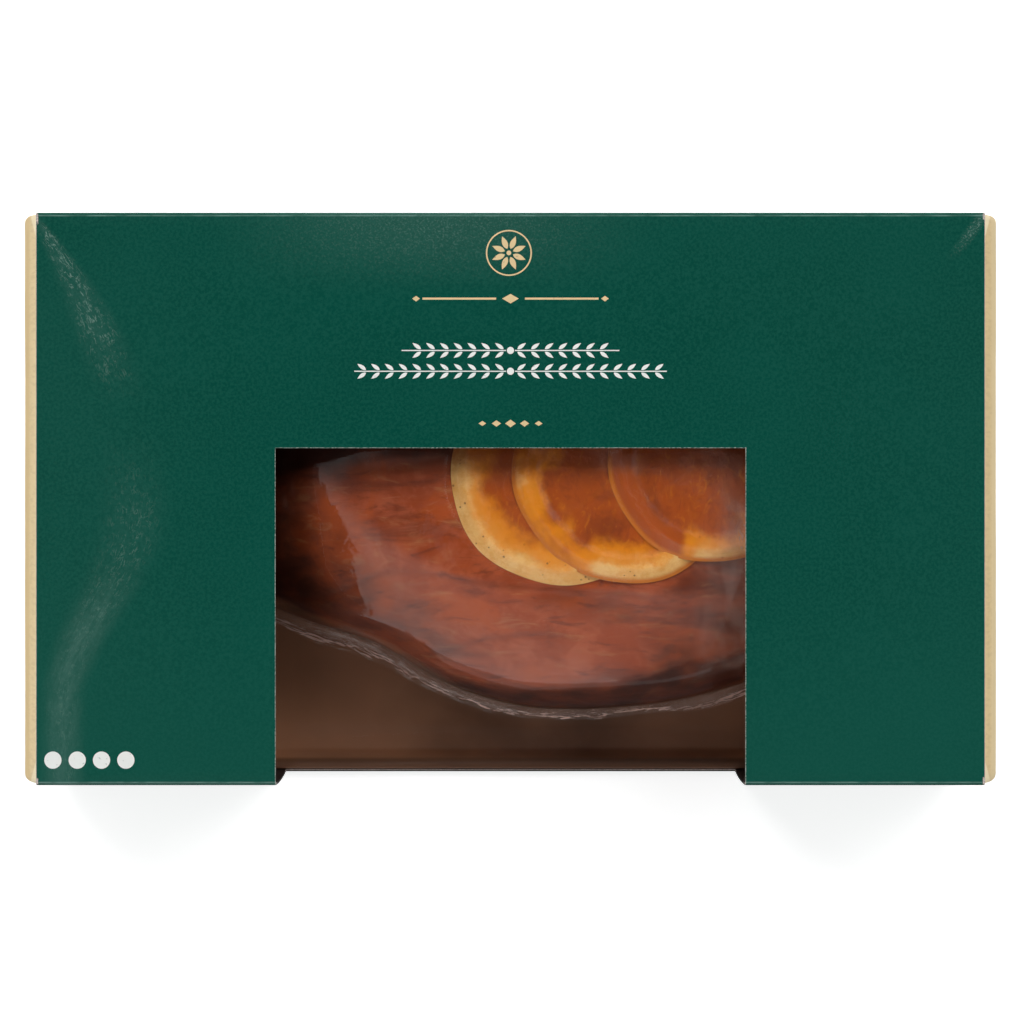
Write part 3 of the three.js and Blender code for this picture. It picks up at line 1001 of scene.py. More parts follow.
@dataclass
class HamForm:
    """The ham joint's outline and upper surface, shared by all that lies on it."""

    centre_x: float = 10.0
    centre_y: float = 4.0
    half_length: float = 112.0
    half_width: float = 72.0
    base: float = 1.9
    widest_at: float = 27.0
    top: float = 72.0
    fullness: float = 2.6
    foot_share: float = 0.84
    right_fullness: float = 3.4
    square: float = 0.4
    flats: tuple[tuple[float, float, float], ...] = ((223.0, 20.0, 0.15), (249.0, 17.0, 0.035))

    def oval(self, bearing: Array) -> Array:
        """Radius of the plain outline at an angle: an ellipse, squarer to the right.

        Args:
            bearing: Angle about the axis, in radians.

        Returns:
            (|cos/a|^p + |sin/b|^p)^(-1/p), with p rising from 2 towards the right.
        """
        power = 2.0 + self.square * smooth_step(np.cos(bearing), -0.1, 0.5)
        along, across = np.abs(np.cos(bearing)) / self.half_length, np.abs(np.sin(bearing)) / self.half_width
        return (along**power + across**power) ** (-1.0 / power)

    def reach(self, bearing: Array) -> Array:
        """Distance from the ham's axis to its widest outline.

        Args:
            bearing: Angle about the axis, in radians.

        Returns:
            The plain outline's radius, less a bell-shaped share at each flat.
        """
        radius = self.oval(bearing)
        for middle, spread, depth in self.flats:
            radius = radius * (1.0 - depth * bell(turned(bearing, middle) / spread))
        return radius

    def at(self, bearing: Array, reach: Array) -> tuple[Array, Array]:
        """The x and y at a bearing and a distance from the ham's axis."""
        return self.centre_x + reach * np.cos(bearing), self.centre_y + reach * np.sin(bearing)

    def share(self, x: Array, y: Array) -> Array:
        """How far out a point lies, from 0 at the axis to 1 at the widest outline.

        Args:
            x: Place across the carton.
            y: Place front to back.

        Returns:
            The share of the plain outline near the axis, turning to the share of the dented
            outline near the edge, by the tenth power of the latter.
        """
        dx, dy = x - self.centre_x, y - self.centre_y
        bearing = np.arctan2(dy, dx)
        plain = np.hypot(dx, dy) / self.oval(bearing)
        dented = np.hypot(dx, dy) / self.reach(bearing)
        return plain + (dented - plain) * np.minimum(dented, 1.0) ** 10

    @staticmethod
    def swells(x: Array, y: Array) -> Array:
        """Low swells of muscle: two crossed waves, a slanted finer one and a broad one on the right.

        Args:
            x: Place across the carton.
            y: Place front to back.

        Returns:
            The height to add.
        """
        broad = 0.4 * np.sin(x / 16.0 + 0.6) * np.cos(y / 13.0 - 0.4)
        right = 8.0 * bell((x - 92.0) / 36.0, (y + 6.0) / 40.0)
        return broad + right + 0.2 * np.sin((x + 1.7 * y) / 8.5 + 1.9)

    def height(self, x: Array, y: Array) -> Array:
        """Height of the upper surface over a point, and of the widest line beyond it.

        Args:
            x: Place across the carton.
            y: Place front to back.

        Returns:
            A dome (1 - s^n)^(1/n) of the share s, fuller to the right, with the swells on it.
        """
        share = np.minimum(self.share(x, y), 1.0)
        full = self.fullness + (self.right_fullness - self.fullness) * smooth_step(x, -20.0, 70.0)
        rise = (1.0 - share**full) ** (1.0 / full)
        return self.widest_at + (self.top - self.widest_at + self.swells(x, y)) * rise


@dataclass
class HamJoint:
    """The ham itself."""

    form: HamForm
    shank_bearing: float = 192.0
    shank_spread: float = 40.0
    upper_rows: int = 170
    lower_rows: int = 50
    columns: int = 400

    def relief(self, x: Array, y: Array) -> Array:
        """Fibre ridges, seams between muscles and small pits.

        Args:
            x: Place across the carton.
            y: Place front to back.

        Returns:
            Height to add: long noise stretched along the meat's grain, broad lumps, less the seams.
        """
        along = x + 0.12 * y
        across = y - 0.12 * x + 3.0 * soft_noise(x, y, 40.0, 5)
        fibres = 0.22 * layered_noise(along / 5.0, across, 2.4, 11)
        lumps = 0.45 * layered_noise(x, y, 14.0, 23)
        return fibres + lumps - 0.5 * self.seams(x, y)

    @staticmethod
    def seams(x: Array, y: Array) -> Array:
        """Thin wandering lines where muscles meet, as gaussians of the distance from each.

        Args:
            x: Place across the carton.
            y: Place front to back.

        Returns:
            About 1 on a seam, fading in and out along it.
        """
        seam = np.zeros_like(x)
        courses = ((-46.0, 0.13, 3.0, 31), (-30.0, -0.05, 5.0, 37), (38.0, -0.2, 7.0, 41))
        for start, slope, wander, seed in courses:
            off = y - start - slope * x - wander * soft_noise(x, x * 0.0, 33.0, seed)
            seam = seam + bell(off / 1.1) * smooth_step(soft_noise(x, y, 30.0, seed + 1), -0.5, 0.3)
        return seam

    def glaze_and_shade(self, x: Array, y: Array, z: Array) -> Array:
        """How dark the meat is made: partly thicker caramel, partly painted shade.

        Args:
            x: Place across the carton.
            y: Place front to back.
            z: Height.

        Returns:
            About 0 on top, up to 0.86 on the shank end and 0.84 down the other flanks, 1 at most, patchy.
            Painted shade darkens the shank side away from the lamps, below the slices and under the top
            panel's back edge; it is also darker low down and towards the right.
        """
        dx, dy = x - self.form.centre_x, y - self.form.centre_y
        bearing = np.arctan2(dy, dx)
        share = np.hypot(dx, dy) / self.form.oval(bearing) + 0.025 * layered_noise(x, y, 18.0, 67)
        # partly painted shade: the shank end on the left and the flanks, most at the lower left, are darkened
        # both as pooled caramel and as shade on the side away from the lamps
        shank = bell(turned(bearing, self.shank_bearing) / self.shank_spread)
        end = smooth_step(share, 0.46, 0.84) ** 0.8
        lower_left = bell((np.degrees(bearing) + 132.0) / 24.0)
        flank = (0.80 + 0.26 * lower_left) * smooth_step(share, 0.83, 0.93)
        # darker low down on the flanks
        flank = flank + 0.2 * (1.0 - smooth_step(z, 16.0, 40.0))
        uneven_and_shade = 0.14 * layered_noise(x, y, 22.0, 61)
        # darker towards the right of the top
        uneven_and_shade = uneven_and_shade + 0.41 * smooth_step(x, 20.0, 58.0) * smooth_step(share, 0.38, 0.6)
        streaks = layered_noise(x * 0.55 + 0.25 * y, y * 1.7 - 0.3 * x, 8.0, 63, 4)
        streaks = (0.10 + 0.16 * smooth_step(x, 0.0, 40.0)) * streaks
        uneven_and_shade = uneven_and_shade + streaks * smooth_step(share, 0.3, 0.55)
        # painted shadow below the slices' lower edge
        uneven_and_shade = uneven_and_shade + 0.36 * bell((x - 20.0) / 22.0, (y + 33.0) / 8.0)
        most = 0.84 + 0.16 * lower_left - 0.12 * smooth_step(x, 30.0, 60.0) * smooth_step(share, 0.8, 0.92)
        sides = np.minimum((1 - shank) * flank + uneven_and_shade, most)
        # painted shadow of the carton's top panel over the back of the ham
        panel_shadow = 0.75 * smooth_step(y, 4.0, 15.0) * (z > 40.0)
        return np.clip(0.86 * shank * end + sides + panel_shadow, 0.0, 1.0)

    def build(self) -> Piece:
        """Makes the ham.

        Returns:
            A closed skin: rings from the crown over the widest line and under to the flat base.
        """
        form = self.form
        bend = 2.0 / form.fullness
        turn = np.linspace(0.0, math.pi / 2, self.upper_rows)
        upper = np.sin(turn) ** bend
        drop = np.linspace(0.0, math.pi / 2, self.lower_rows + 1)[1:]
        under = form.foot_share + (1 - form.foot_share) * np.clip(np.cos(drop), 0.0, 1.0) ** bend
        under_z = form.widest_at - (form.widest_at - form.base) * np.sin(drop) ** bend
        inward = np.linspace(form.foot_share, 0.0, 8)[1:]
        share = np.concatenate([upper, under, inward])[:, None]
        bearing = circle(self.columns)[None, :]
        x, y = form.at(bearing, share * form.reach(bearing))
        z = form.height(x, y)
        z[self.upper_rows :] = np.concatenate([under_z, np.full(inward.size, form.base)])[:, None]
        face_up = np.clip(1.0 - share**6, 0.0, 1.0) * (np.arange(share.size) < self.upper_rows)[:, None]
        rough = self.relief(x, y)
        z = z + rough * face_up
        sidewise = (1.0 - face_up) * (np.arange(share.size) < share.size - 10)[:, None]
        swell = 0.5 * layered_noise(bearing * 60.0 + 0 * z, z, 11.0, 71) * sidewise
        x, y = x + swell * np.cos(bearing), y + swell * np.sin(bearing)
        values = {"glaze_and_shade": self.glaze_and_shade(x, y, z), "seam": self.seams(x, y)}
        points = np.stack([x, y, z], -1).reshape(-1, 3)
        piece = mesh_object("ham_joint", points, grid_faces(*z.shape, True), values)
        weld(piece)
        return piece


@dataclass
class OrangeSlice:
    """One baked slice of orange, draped over what lies below."""

    name: str
    x: float
    y: float
    radius: float
    seed: int
    soaked: float = 0.0
    soaked_to: float = 60.0
    show_peel: bool = True
    thickness: float = 1.8
    flesh_drop: float = 0.55
    pith: float = 8.0
    tuck: float = 0.35
    segments: int = 10
    columns: int = 260
    under_rings: int = 16
    rind_rings: int = 9
    top_rings: int = 90

    def lift(self, x: Array, y: Array, flat: float, run: float) -> Array:
        """1 over this slice, easing to 0 beyond its edge.

        Args:
            x: Place across the carton.
            y: Place front to back.
            flat: How far past the edge it stays 1.
            run: How far it takes to reach 0.

        Returns:
            The share of this slice's thickness to add.
        """
        distance = np.hypot(x - self.x, y - self.y)
        return 1.0 - smooth_step(distance, self.radius + flat, self.radius + flat + run)

    def build(self, form: HamForm, below: list["OrangeSlice"]) -> Piece:
        """Makes the slice.

        Args:
            form: The ham under it.
            below: The slices laid before it.

        Returns:
            A closed disc: underside, round rind, flat pith and sunken flesh with segments.
        """
        under, rind, over = self.under_rings, self.rind_rings, self.top_rings
        inward = np.linspace(0.985, 0.0, over)
        out = np.concatenate([np.linspace(0.02, 0.985, under), np.full(rind, 1.0), inward])
        edge = np.linspace(-math.pi / 2, math.pi / 2, rind)
        up = np.concatenate([np.zeros(under), (1 + np.sin(edge)) / 2, np.ones(over)])
        tuck = np.concatenate([np.zeros(under), self.tuck * (1 - np.cos(edge)), np.zeros(over)])
        bearing = circle(self.columns)[None, :]
        wobble = 1.0 + 0.012 * np.sin(3 * bearing + self.seed) + 0.008 * np.sin(7 * bearing + 2 * self.seed)
        share, up = out[:, None], up[:, None]
        reach = share * self.radius * wobble - tuck[:, None]
        x = self.x + reach * np.cos(bearing)
        y = self.y + reach * np.sin(bearing)
        flesh_edge = 1.0 - self.pith / self.radius
        inside = 1.0 - smooth_step(share, flesh_edge - 0.06, flesh_edge + 0.03)
        spoke = (bearing * self.segments / FULL_TURN + 0.08 * np.sin(bearing * 3 + self.seed)) % 1.0
        off_line = np.minimum(spoke, 1.0 - spoke) * FULL_TURN / self.segments * reach
        membrane = np.exp(-((off_line / 0.7) ** 2)) * inside * smooth_step(share, 0.04, 0.16)
        top = (up > 0.99).astype(float)
        bulge = 0.12 * np.clip(np.abs(off_line) / 5.0, 0, 1) * inside
        relief = -self.flesh_drop * inside + bulge + 0.08 * membrane
        relief = relief + 0.16 * layered_noise(x, y, 3.4, self.seed, 3)
        relief = relief + 0.3 * soft_noise(x, y, 12.0, self.seed + 9)
        base = form.height(x, y) + stacked(below, x, y)
        soft = 1.0 - 0.9 * smooth_step(share, 0.86, 1.0)
        relief = relief * (1.0 - smooth_step(share, 0.9, 1.0))
        z = base + 0.05 + self.thickness * soft * up + relief * top
        shown = share if self.show_peel else np.minimum(share, 0.95)
        turn = np.abs(turned(bearing, 0.0))
        soak = self.soaked * smooth_step(turn, 163.0 - self.soaked_to, 195.0 - self.soaked_to) + 0.0 * z
        values = {"ring": np.broadcast_to(shown, z.shape), "membrane": membrane * top, "soak": soak}
        points = np.stack([x, y, z], -1).reshape(-1, 3)
        piece = mesh_object(self.name, points, grid_faces(*z.shape, True), values)
        close_pole(piece, self.columns)
        weld(piece)
        return piece


def stacked(below: list[OrangeSlice], x: Array, y: Array) -> Array:
    """Height that the slices laid before add to the ham.

    Args:
        below: Those slices.
        x: Place across the carton.
        y: Place front to back.

    Returns:
        The sum of their slightly pressed thicknesses, each eased out past its edge.
    """
    return sum(((s.thickness - 0.3) * s.lift(x, y, -6.0, 28.0) for s in below), 0.0 * x)


def close_pole(piece: Piece, columns: int) -> None:
    """Closes the small round hole left in the first ring of a disc.

    Args:
        piece: The mesh object.
        columns: Corners in that ring.
    """
    with editing(piece) as work:
        work.verts.ensure_lookup_table()
        work.faces.new([work.verts[i] for i in range(columns)])


@dataclass
class Tray:
    """The shallow moulded tray."""

    half_length: float = 146.4
    half_width: float = 88.4
    corner: float = 14.0
    rim_height: float = 6.5
    rim_width: float = 1.6
    slope_run: float = 5.0
    sheet: float = 0.6
    underside: float = 1.0
    hub: float = 60.0
    under_rings: int = 4
    slope_rings: int = 14
    rim_rings: int = 8
    floor_rings: int = 12

    @property
    def floor(self) -> float:
        """Height of the tray's inner floor."""
        return self.underside + self.sheet

    @property
    def slope_foot(self) -> float:
        """How far in from the rim the floor starts."""
        return self.rim_width + self.slope_run

    def reach(self, bearing: Array, inset: Array, form: HamForm) -> Array:
        """Distance from the ham's axis to the tray's rounded outline drawn in by an inset.

        Args:
            bearing: Angles about the ham's axis.
            inset: How far in from the rim's edge.
            form: The ham, whose axis the angles are about.

        Returns:
            The distance at which the rounded rectangle's signed distance is nought, by bisection.
        """
        corner = self.corner - inset
        flat_x = self.half_length - inset - corner
        flat_y = self.half_width - inset - corner
        shape = np.broadcast_shapes(np.shape(bearing), np.shape(inset))
        near, far = np.zeros(shape), np.full(shape, 2 * self.half_length)
        for _ in range(40):
            middle = (near + far) / 2
            x = np.abs(form.centre_x + middle * np.cos(bearing)) - flat_x
            y = np.abs(form.centre_y + middle * np.sin(bearing)) - flat_y
            outside = np.hypot(np.maximum(x, 0), np.maximum(y, 0)) + np.minimum(np.maximum(x, y), 0) > corner
            near, far = np.where(outside, near, middle), np.where(outside, middle, far)
        return near

    def build(self, form: HamForm) -> Piece:
        """Makes the tray.

        Args:
            form: The ham, whose axis the tray's rings run about.

        Returns:
            A closed skin: underside, rolled rim, coved slope and floor, as rounded rings.
        """
        under, slope, rim, flat = self.under_rings, self.slope_rings, self.rim_rings, self.floor_rings
        cove = np.linspace(0.0, 1.0, slope)
        ease = cove * cove * (3 - 2 * cove)
        slope_in = self.rim_width + cove * self.slope_run
        slope_z = self.rim_height - ease * (self.rim_height - self.floor)
        roll = np.linspace(0.0, math.pi, rim)
        lip = self.sheet / 2
        inset = np.concatenate([
            np.linspace(self.hub, self.slope_foot, under), slope_in[::-1], lip - lip * np.sin(roll),
            slope_in + 0.1, np.linspace(self.slope_foot + 0.4, self.hub, flat),
        ])
        z = np.concatenate([
            np.full(under, self.underside), slope_z[::-1] - self.sheet,
            self.rim_height - lip - lip * np.cos(roll), slope_z, np.full(flat, self.floor),
        ])
        inset[under + slope + rim] = self.rim_width
        bearing = self.bearings(form)[None, :]
        steady = self.corner - 0.5
        reach = self.reach(bearing, np.minimum(inset, steady)[:, None], form)
        reach = reach * (1.0 - np.clip((inset - steady) / (self.hub - steady), 0.0, 1.0)[:, None])
        x, y = form.at(bearing, reach)
        z = z[:, None] + 0.0 * x
        ripple = 0.12 * layered_noise(x, y, 24.0, 83) * (z > self.floor - 0.05) * (reach > 1.0)
        points = np.stack([x, y, z + ripple * (z < self.floor + 0.5)], -1).reshape(-1, 3)
        piece = mesh_object("moulded_tray", points, grid_faces(*x.shape, True))
        weld(piece)
        return piece

    def bearings(self, form: HamForm) -> Array:
        """Angles about the ham's axis that follow the sides and turn finely round the corners.

        Args:
            form: The ham.

        Returns:
            The angles, rising, in radians.
        """
        turn = np.linspace(0.0, math.pi / 2, 9)
        x = self.half_length - self.corner + self.corner * np.cos(turn)
        y = self.half_width - self.corner + self.corner * np.sin(turn)
        signs = ((1, 1), (1, -1), (-1, 1), (-1, -1))
        corners = [np.arctan2(sy * y - form.centre_y, sx * x - form.centre_x) for sx, sy in signs]
        even = circle(160) - math.pi
        return np.unique(np.round(np.concatenate([*corners, even]), 5))


@dataclass
class FilmCover:
    """Clear film over the ham, its slices and the tray."""

    form: HamForm
    tray: Tray
    slices: list[OrangeSlice]
    gap: float = 0.45
    foot_run: float = 3.0
    bridge: float = 7.0
    wave_radius: float = 92.0
    fold_ring: float = 0.034
    fold_run: float = 0.0034
    columns: int = 800
    cover_rows: int = 74
    flank_rows: int = 15
    pleat_rows: int = 22
    skirt_rows: int = 10

    def over_ham(self, bearing: Array, widest: Array) -> Array:
        """The sheet over the dome.

        Args:
            bearing: Angles round the ham.
            widest: The ham's reach at each.

        Returns:
            Points in rings that follow the ham's upper surface and rise over each slice.
        """
        form = self.form
        share = np.sin(np.linspace(0.0, math.pi / 2, self.cover_rows)[:, None]) ** (2.0 / form.fullness)
        x, y = form.at(bearing, share * widest + self.gap * share**6)
        lift = 0.0 * x
        for order, item in enumerate(self.slices):
            raised = stacked(self.slices[:order], x, y) + item.thickness + 0.05
            lift = np.maximum(lift, raised * item.lift(x, y, -4.2, 5.2))
        top = form.height(*form.at(bearing, share * widest))
        slack = 0.08 * layered_noise(x, y, 17.0, 91) + 0.25
        return np.stack([x, y, top + lift + self.gap + slack * (1 - share**8)], -1)

    def haze_and_sheen(self, x: Array, y: Array) -> Array:
        """Where the sheet over the dome looks milky, partly as painted sheen.

        Args:
            x: Place across the carton.
            y: Place front to back.

        Returns:
            Patches at the back, a broad veil of painted sheen on the right past a slanted line, and thin
            upright folds.
        """
        spread = self.form.share(x, y)
        haze_and_sheen = 0.10 * smooth_step(layered_noise(x, y * 1.4, 16.0, 113, 4), -0.05, 0.45)
        haze_and_sheen = haze_and_sheen * smooth_step(y, 4.0, 15.0) * smooth_step(x, -16.0, 4.0)
        # painted sheen: a milky veil on the right of the dome, with the bell added at the end
        outer = smooth_step(spread, 0.42, 0.55)
        beside = smooth_step(x, 55.0, 63.0) * outer * (1.0 - smooth_step(spread, 0.91, 0.935))
        haze_and_sheen = haze_and_sheen + 0.1 * beside * (1.0 - 0.7 * smooth_step(y, -26.0, -14.0))
        past = smooth_step(x - 70.3 - 0.2 * (y + 22.0), -1.1, 1.1) * outer
        haze_and_sheen = haze_and_sheen + 0.10 * past * (1.0 - smooth_step(spread, 0.90, 0.935))
        for fold_x, strong in ((71.3, 0.10), (73.0, 0.14), (-71.0, 0.05), (-68.6, 0.04)):
            wander = fold_x + 0.5 * soft_noise(y, 0.0 * y, 25.0, 127)
            broken = smooth_step(soft_noise(y, 0.0 * y + fold_x, 9.0, 129), -0.3, 0.6)
            haze_and_sheen = haze_and_sheen + strong * bell((x - wander) / 0.4) * broken
        return haze_and_sheen + 0.40 * bell((x - 72.0) / 6.0, (y + 8.0) / 9.0)

    def near_rims(self, x: Array, y: Array) -> Array:
        """Where the film comes down over a slice's rim that shows.

        Args:
            x: Place across the carton.
            y: Place front to back.

        Returns:
            1 at such a rim, easing to 0 on both sides and where a later slice covers it.
        """
        near = 0.0 * x
        for item in self.slices:
            rim = item.lift(x, y, 1.0, 2.5) * (1.0 - item.lift(x, y, -7.0, 2.5))
            near = np.maximum(near * (1.0 - item.lift(x, y, -3.0, 2.0)), rim)
        return near

    def rim_inset(self, x: Array, y: Array) -> Array:
        """How far inside the tray's rounded outline a point lies.

        Args:
            x: Place across the carton.
            y: Place front to back.

        Returns:
            The distance, less than nought outside.
        """
        tray = self.tray
        over_x = np.maximum(np.abs(x) - tray.half_length + tray.corner, 0)
        over_y = np.maximum(np.abs(y) - tray.half_width + tray.corner, 0)
        corner = np.hypot(over_x, over_y)
        side = np.minimum(tray.half_length - np.abs(x), tray.half_width - np.abs(y))
        return np.where(corner > 0, np.minimum(side, tray.corner - corner), side)

    def build(self) -> Piece:
        """Makes the film.

        Returns:
            One sheet: over the dome, down its flank, round its foot with small pleats, and out to
            the tray's rim, with numbers for its cling, its milkiness with painted sheen, and its puckers.
        """
        form, tray = self.form, self.tray
        bearing = circle(self.columns)[None, :]
        widest = form.reach(bearing)
        cover = self.over_ham(bearing, widest)
        centre = np.array([form.centre_x, form.centre_y])
        heading = np.stack([np.cos(bearing), np.sin(bearing)], -1)

        down = np.linspace(0.0, 1.0, self.flank_rows + 1)[1:, None]
        foot = 1.0 - np.sqrt(np.clip(1.0 - down**3, 0.0, 1.0))
        limit = tray.reach(bearing, np.full_like(bearing, tray.slope_foot + 2.5), form)
        flank_reach = np.minimum(widest + self.gap + self.foot_run * (0.25 * down + 0.75 * foot), limit)
        low = tray.floor + 0.35
        start_z = form.widest_at + self.gap
        flank_z = start_z - (start_z - low - 0.5) * (1 - (1 - down) ** 1.25) + 0 * flank_reach

        edge = tray.reach(bearing, np.full_like(bearing, 0.4), form)
        begin = flank_reach[-1:]
        room = edge - begin
        pleat = np.linspace(0.0, 1.0, self.pleat_rows + 1)[1:, None] * np.minimum(0.35 * room, 7.0)
        rest = np.linspace(0.0, 1.0, self.skirt_rows + 1)[1:, None] * (room - pleat[-1:]) + pleat[-1:]
        out_reach = begin + np.concatenate([pleat, rest])
        xy = centre + out_reach[..., None] * heading
        rim_inset = self.rim_inset(xy[..., 0], xy[..., 1])
        rise = 1.0 - smooth_step(rim_inset, tray.rim_width, tray.slope_foot + self.bridge)
        away = out_reach - begin
        out_z = low + (tray.rim_height - tray.floor) * rise + 0.5 * np.exp(-away / 1.5)
        loose = layered_noise(xy[..., 0], xy[..., 1], 34.0, 97)
        out_z = out_z + 0.05 * loose * (1 - rise) * np.minimum(away / 4.0, 1)

        reach = np.concatenate([flank_reach, out_reach])
        height = np.concatenate([flank_z, out_z])
        off = reach - widest
        around = bearing * self.wave_radius
        ragged = layered_noise(around, 0 * around, 30.0, 107, 4)
        degrees = np.degrees(bearing)
        left = bell((degrees - 214.0) / 17.0)
        right = bell((degrees - 309.0) / 13.0)
        bare = 1.0 - 0.85 * bell((degrees - 201.0) / 8.0)
        width = 2.3 + 0.9 * ragged + 0.9 * np.cos(bearing * 2 - 0.9) + 1.0 * left + 2.0 * right
        width = np.maximum(width, 0.9)
        level = np.clip((form.widest_at - height) / 14.0, 0.0, 1.0)
        across = (off - 0.6) / (1.9 * width)
        band = smooth_step(across, -0.1, 0.15) * (1.0 - smooth_step(across, 0.95, 1.2)) * level
        strength = 0.9 + 0.3 * left + 0.45 * layered_noise(around, 0 * around, 11.0, 109, 3)
        pucker = np.clip(band * strength * bare, 0.0, 1.0)
        fold = layered_noise(around, off * 2.0, 3.2, 101, 3) * band
        reach = reach + 0.3 * fold * np.minimum(level * 2, 1)
        height = height + 0.25 * np.maximum(fold, 0.0)
        lower = np.concatenate([centre + reach[..., None] * heading, height[..., None]], -1)

        points = np.concatenate([cover, lower])
        cover_zero = np.zeros(cover.shape[:2])
        pucker = np.concatenate([cover_zero, pucker])
        settled = np.clip(1.0 - np.arange(len(lower))[:, None] / 8.0, 0, 1) + 0 * off
        cling = np.concatenate([cover_zero + 1.0, settled])
        x, y = points[..., 0], points[..., 1]
        haze_and_sheen = self.haze_and_sheen(x, y) * (cling > 0.99)
        # painted sheen: a milky band on the puckers at the lower right
        haze_and_sheen[len(cover):] = 0.3 * band * right
        rim_off = np.concatenate([cover_zero, off])
        ring = np.broadcast_to(heading * self.fold_ring, (*x.shape, 2))
        rim = np.concatenate([ring, rim_off[..., None] * self.fold_run], -1)
        across = np.concatenate([cover_zero - 1.0, across])
        calm = np.concatenate([self.near_rims(cover[..., 0], cover[..., 1]), 0.0 * off])
        values = {"pucker": pucker, "across": across, "cling": cling, "haze_and_sheen": haze_and_sheen, "rim": rim, "calm": calm}
        faces = grid_faces(len(points), self.columns, True)
        piece = mesh_object("film_cover", points.reshape(-1, 3), faces, values)
        weld(piece, outward=False)
        return piece


# ---- The carton ----


@dataclass
class CartonForm:
    """The carton's main sizes, from the frame where it states them."""

    board: float = 0.7
    crease: float = 1.0
    end_bow: float = 6.6
    flap_inset: float = 0.25
    flap_foot: float = 11.0
    window_half: float = 73.4
    window_back: float = 15.9
    sill: float = 2.2
    top_bow: float = 1.3
    wall_bow: float = 0.7
    half_length: float = field(init=False)
    half_width: float = field(init=False)
    height: float = field(init=False)

    def __post_init__(self) -> None:
        """Reads the outer sizes from the CAD carton."""
        _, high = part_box("carton")
        self.half_length = high.x / MM - self.end_bow
        self.half_width = high.y / MM
        self.height = high.z / MM

    def panel_rise(self, x: Array, y: Array) -> Array:
        """How far the top panel bows up: a parabola across, flattening towards the end creases.

        Args:
            x: Place across the carton.
            y: Place front to back.

        Returns:
            The height to add.
        """
        across = 1.0 - np.clip(np.abs(y) / (self.half_width - self.crease), 0.0, 1.0) ** 2
        along = 1.0 - np.clip(np.abs(x) / self.half_length, 0.0, 1.0) ** 4
        return self.top_bow * across * along

    def bow(self, z: Array) -> Array:
        """How far an end flap stands out, as an arc through both of its creases.

        Args:
            z: Height.

        Returns:
            The distance past the creases.
        """
        chord = self.height / 2 - self.crease
        radius = (chord**2 + self.end_bow**2) / (2 * self.end_bow)
        rise = np.minimum(np.abs(z - self.height / 2), chord)
        return np.sqrt(radius**2 - rise**2) - (radius - self.end_bow)


@dataclass
class Sleeve:
    """The carton's four long panels, folded from one board, with the window cut through them."""

    form: CartonForm

    def section(self) -> tuple[Array, Array, Array]:
        """The outline of the four panels, seen along X.

        Returns:
            The y and z of each point round the loop, and a number for its stretch: 0 bottom,
            1 back, 2 top and 3 front, with each crease in between counted as a half.
        """
        form = self.form
        r, w, h = form.crease, form.half_width, form.height
        arc = np.linspace(0.0, math.pi / 2, 7)[1:-1]
        bottom = np.linspace(r - w, w - r, 26)
        wall = np.linspace(r, h - r, 24)
        back_top = np.linspace(w - r, form.window_back, 22)
        front_top = np.linspace(form.window_back, r - w, 30)[1:]
        front = np.concatenate([np.linspace(h - r, form.sill, 24), [r]])
        loop = [
            (bottom, np.zeros_like(bottom), 0.0),
            (w - r + r * np.sin(arc), r - r * np.cos(arc), 0.5),
            (np.full_like(wall, w), wall, 1.0),
            (w - r + r * np.cos(arc), h - r + r * np.sin(arc), 1.5),
            (np.concatenate([back_top, front_top]), np.full(back_top.size + front_top.size, h), 2.0),
            (r - w - r * np.sin(arc), h - r + r * np.cos(arc), 2.5),
            (np.full_like(front, -w), front, 3.0),
            (r - w - r * np.cos(arc), r - r * np.sin(arc), 3.5),
        ]
        y = np.concatenate([part[0] for part in loop])
        z = np.concatenate([part[1] for part in loop])
        stretch = np.concatenate([np.full(part[0].size, part[2]) for part in loop])
        return y, z, stretch

    def build(self) -> Piece:
        """Makes the sleeve.

        Returns:
            The folded board, given its thickness inwards, with numbers for cut and inner faces.
        """
        form = self.form
        side = np.linspace(form.window_half, form.half_length - 0.12, 30)
        x = np.concatenate([-side[::-1], np.linspace(-form.window_half, form.window_half, 60)[1:-1], side])
        y, z, stretch = self.section()
        grid_x = np.broadcast_to(x[:, None], (x.size, y.size))
        grid_y = np.broadcast_to(y, grid_x.shape).copy()
        grid_z = np.broadcast_to(z, grid_x.shape).copy()
        grid_z += form.panel_rise(grid_x, grid_y) * (stretch == 2.0)
        share = np.clip(np.abs(grid_x) / form.half_length, 0, 1) ** 4
        level = 1.0 - np.clip(np.abs(grid_z - form.height / 2) / (form.height / 2 - form.crease), 0, 1) ** 2
        out = form.wall_bow * (1 - share) * level
        grid_y += out * (stretch == 1.0) - out * (stretch == 3.0)
        faces = grid_faces(x.size, y.size, True)
        middle_x = np.abs(grid_x.reshape(-1)[faces].mean(1)) < form.window_half
        middle_y = np.broadcast_to(y, grid_x.shape).reshape(-1)[faces].mean(1)
        middle_z = np.broadcast_to(z, grid_x.shape).reshape(-1)[faces].mean(1)
        top_cut = (middle_z > form.height - form.crease) & (middle_y < form.window_back)
        front_cut = (middle_y < form.crease - form.half_width) & (middle_z > form.sill)
        kept = faces[~(middle_x & (top_cut | front_cut))]
        points = np.stack([grid_x, grid_y, grid_z], -1).reshape(-1, 3)
        piece = mesh_object("board_sleeve", points, kept[:, ::-1])
        drop_loose(piece)
        thicken(piece, form.board)
        return piece


def drop_loose(piece: Piece) -> None:
    """Removes corners that no face uses."""
    with editing(piece) as work:
        bmesh.ops.delete(work, geom=[v for v in work.verts if not v.link_faces], context="VERTS")


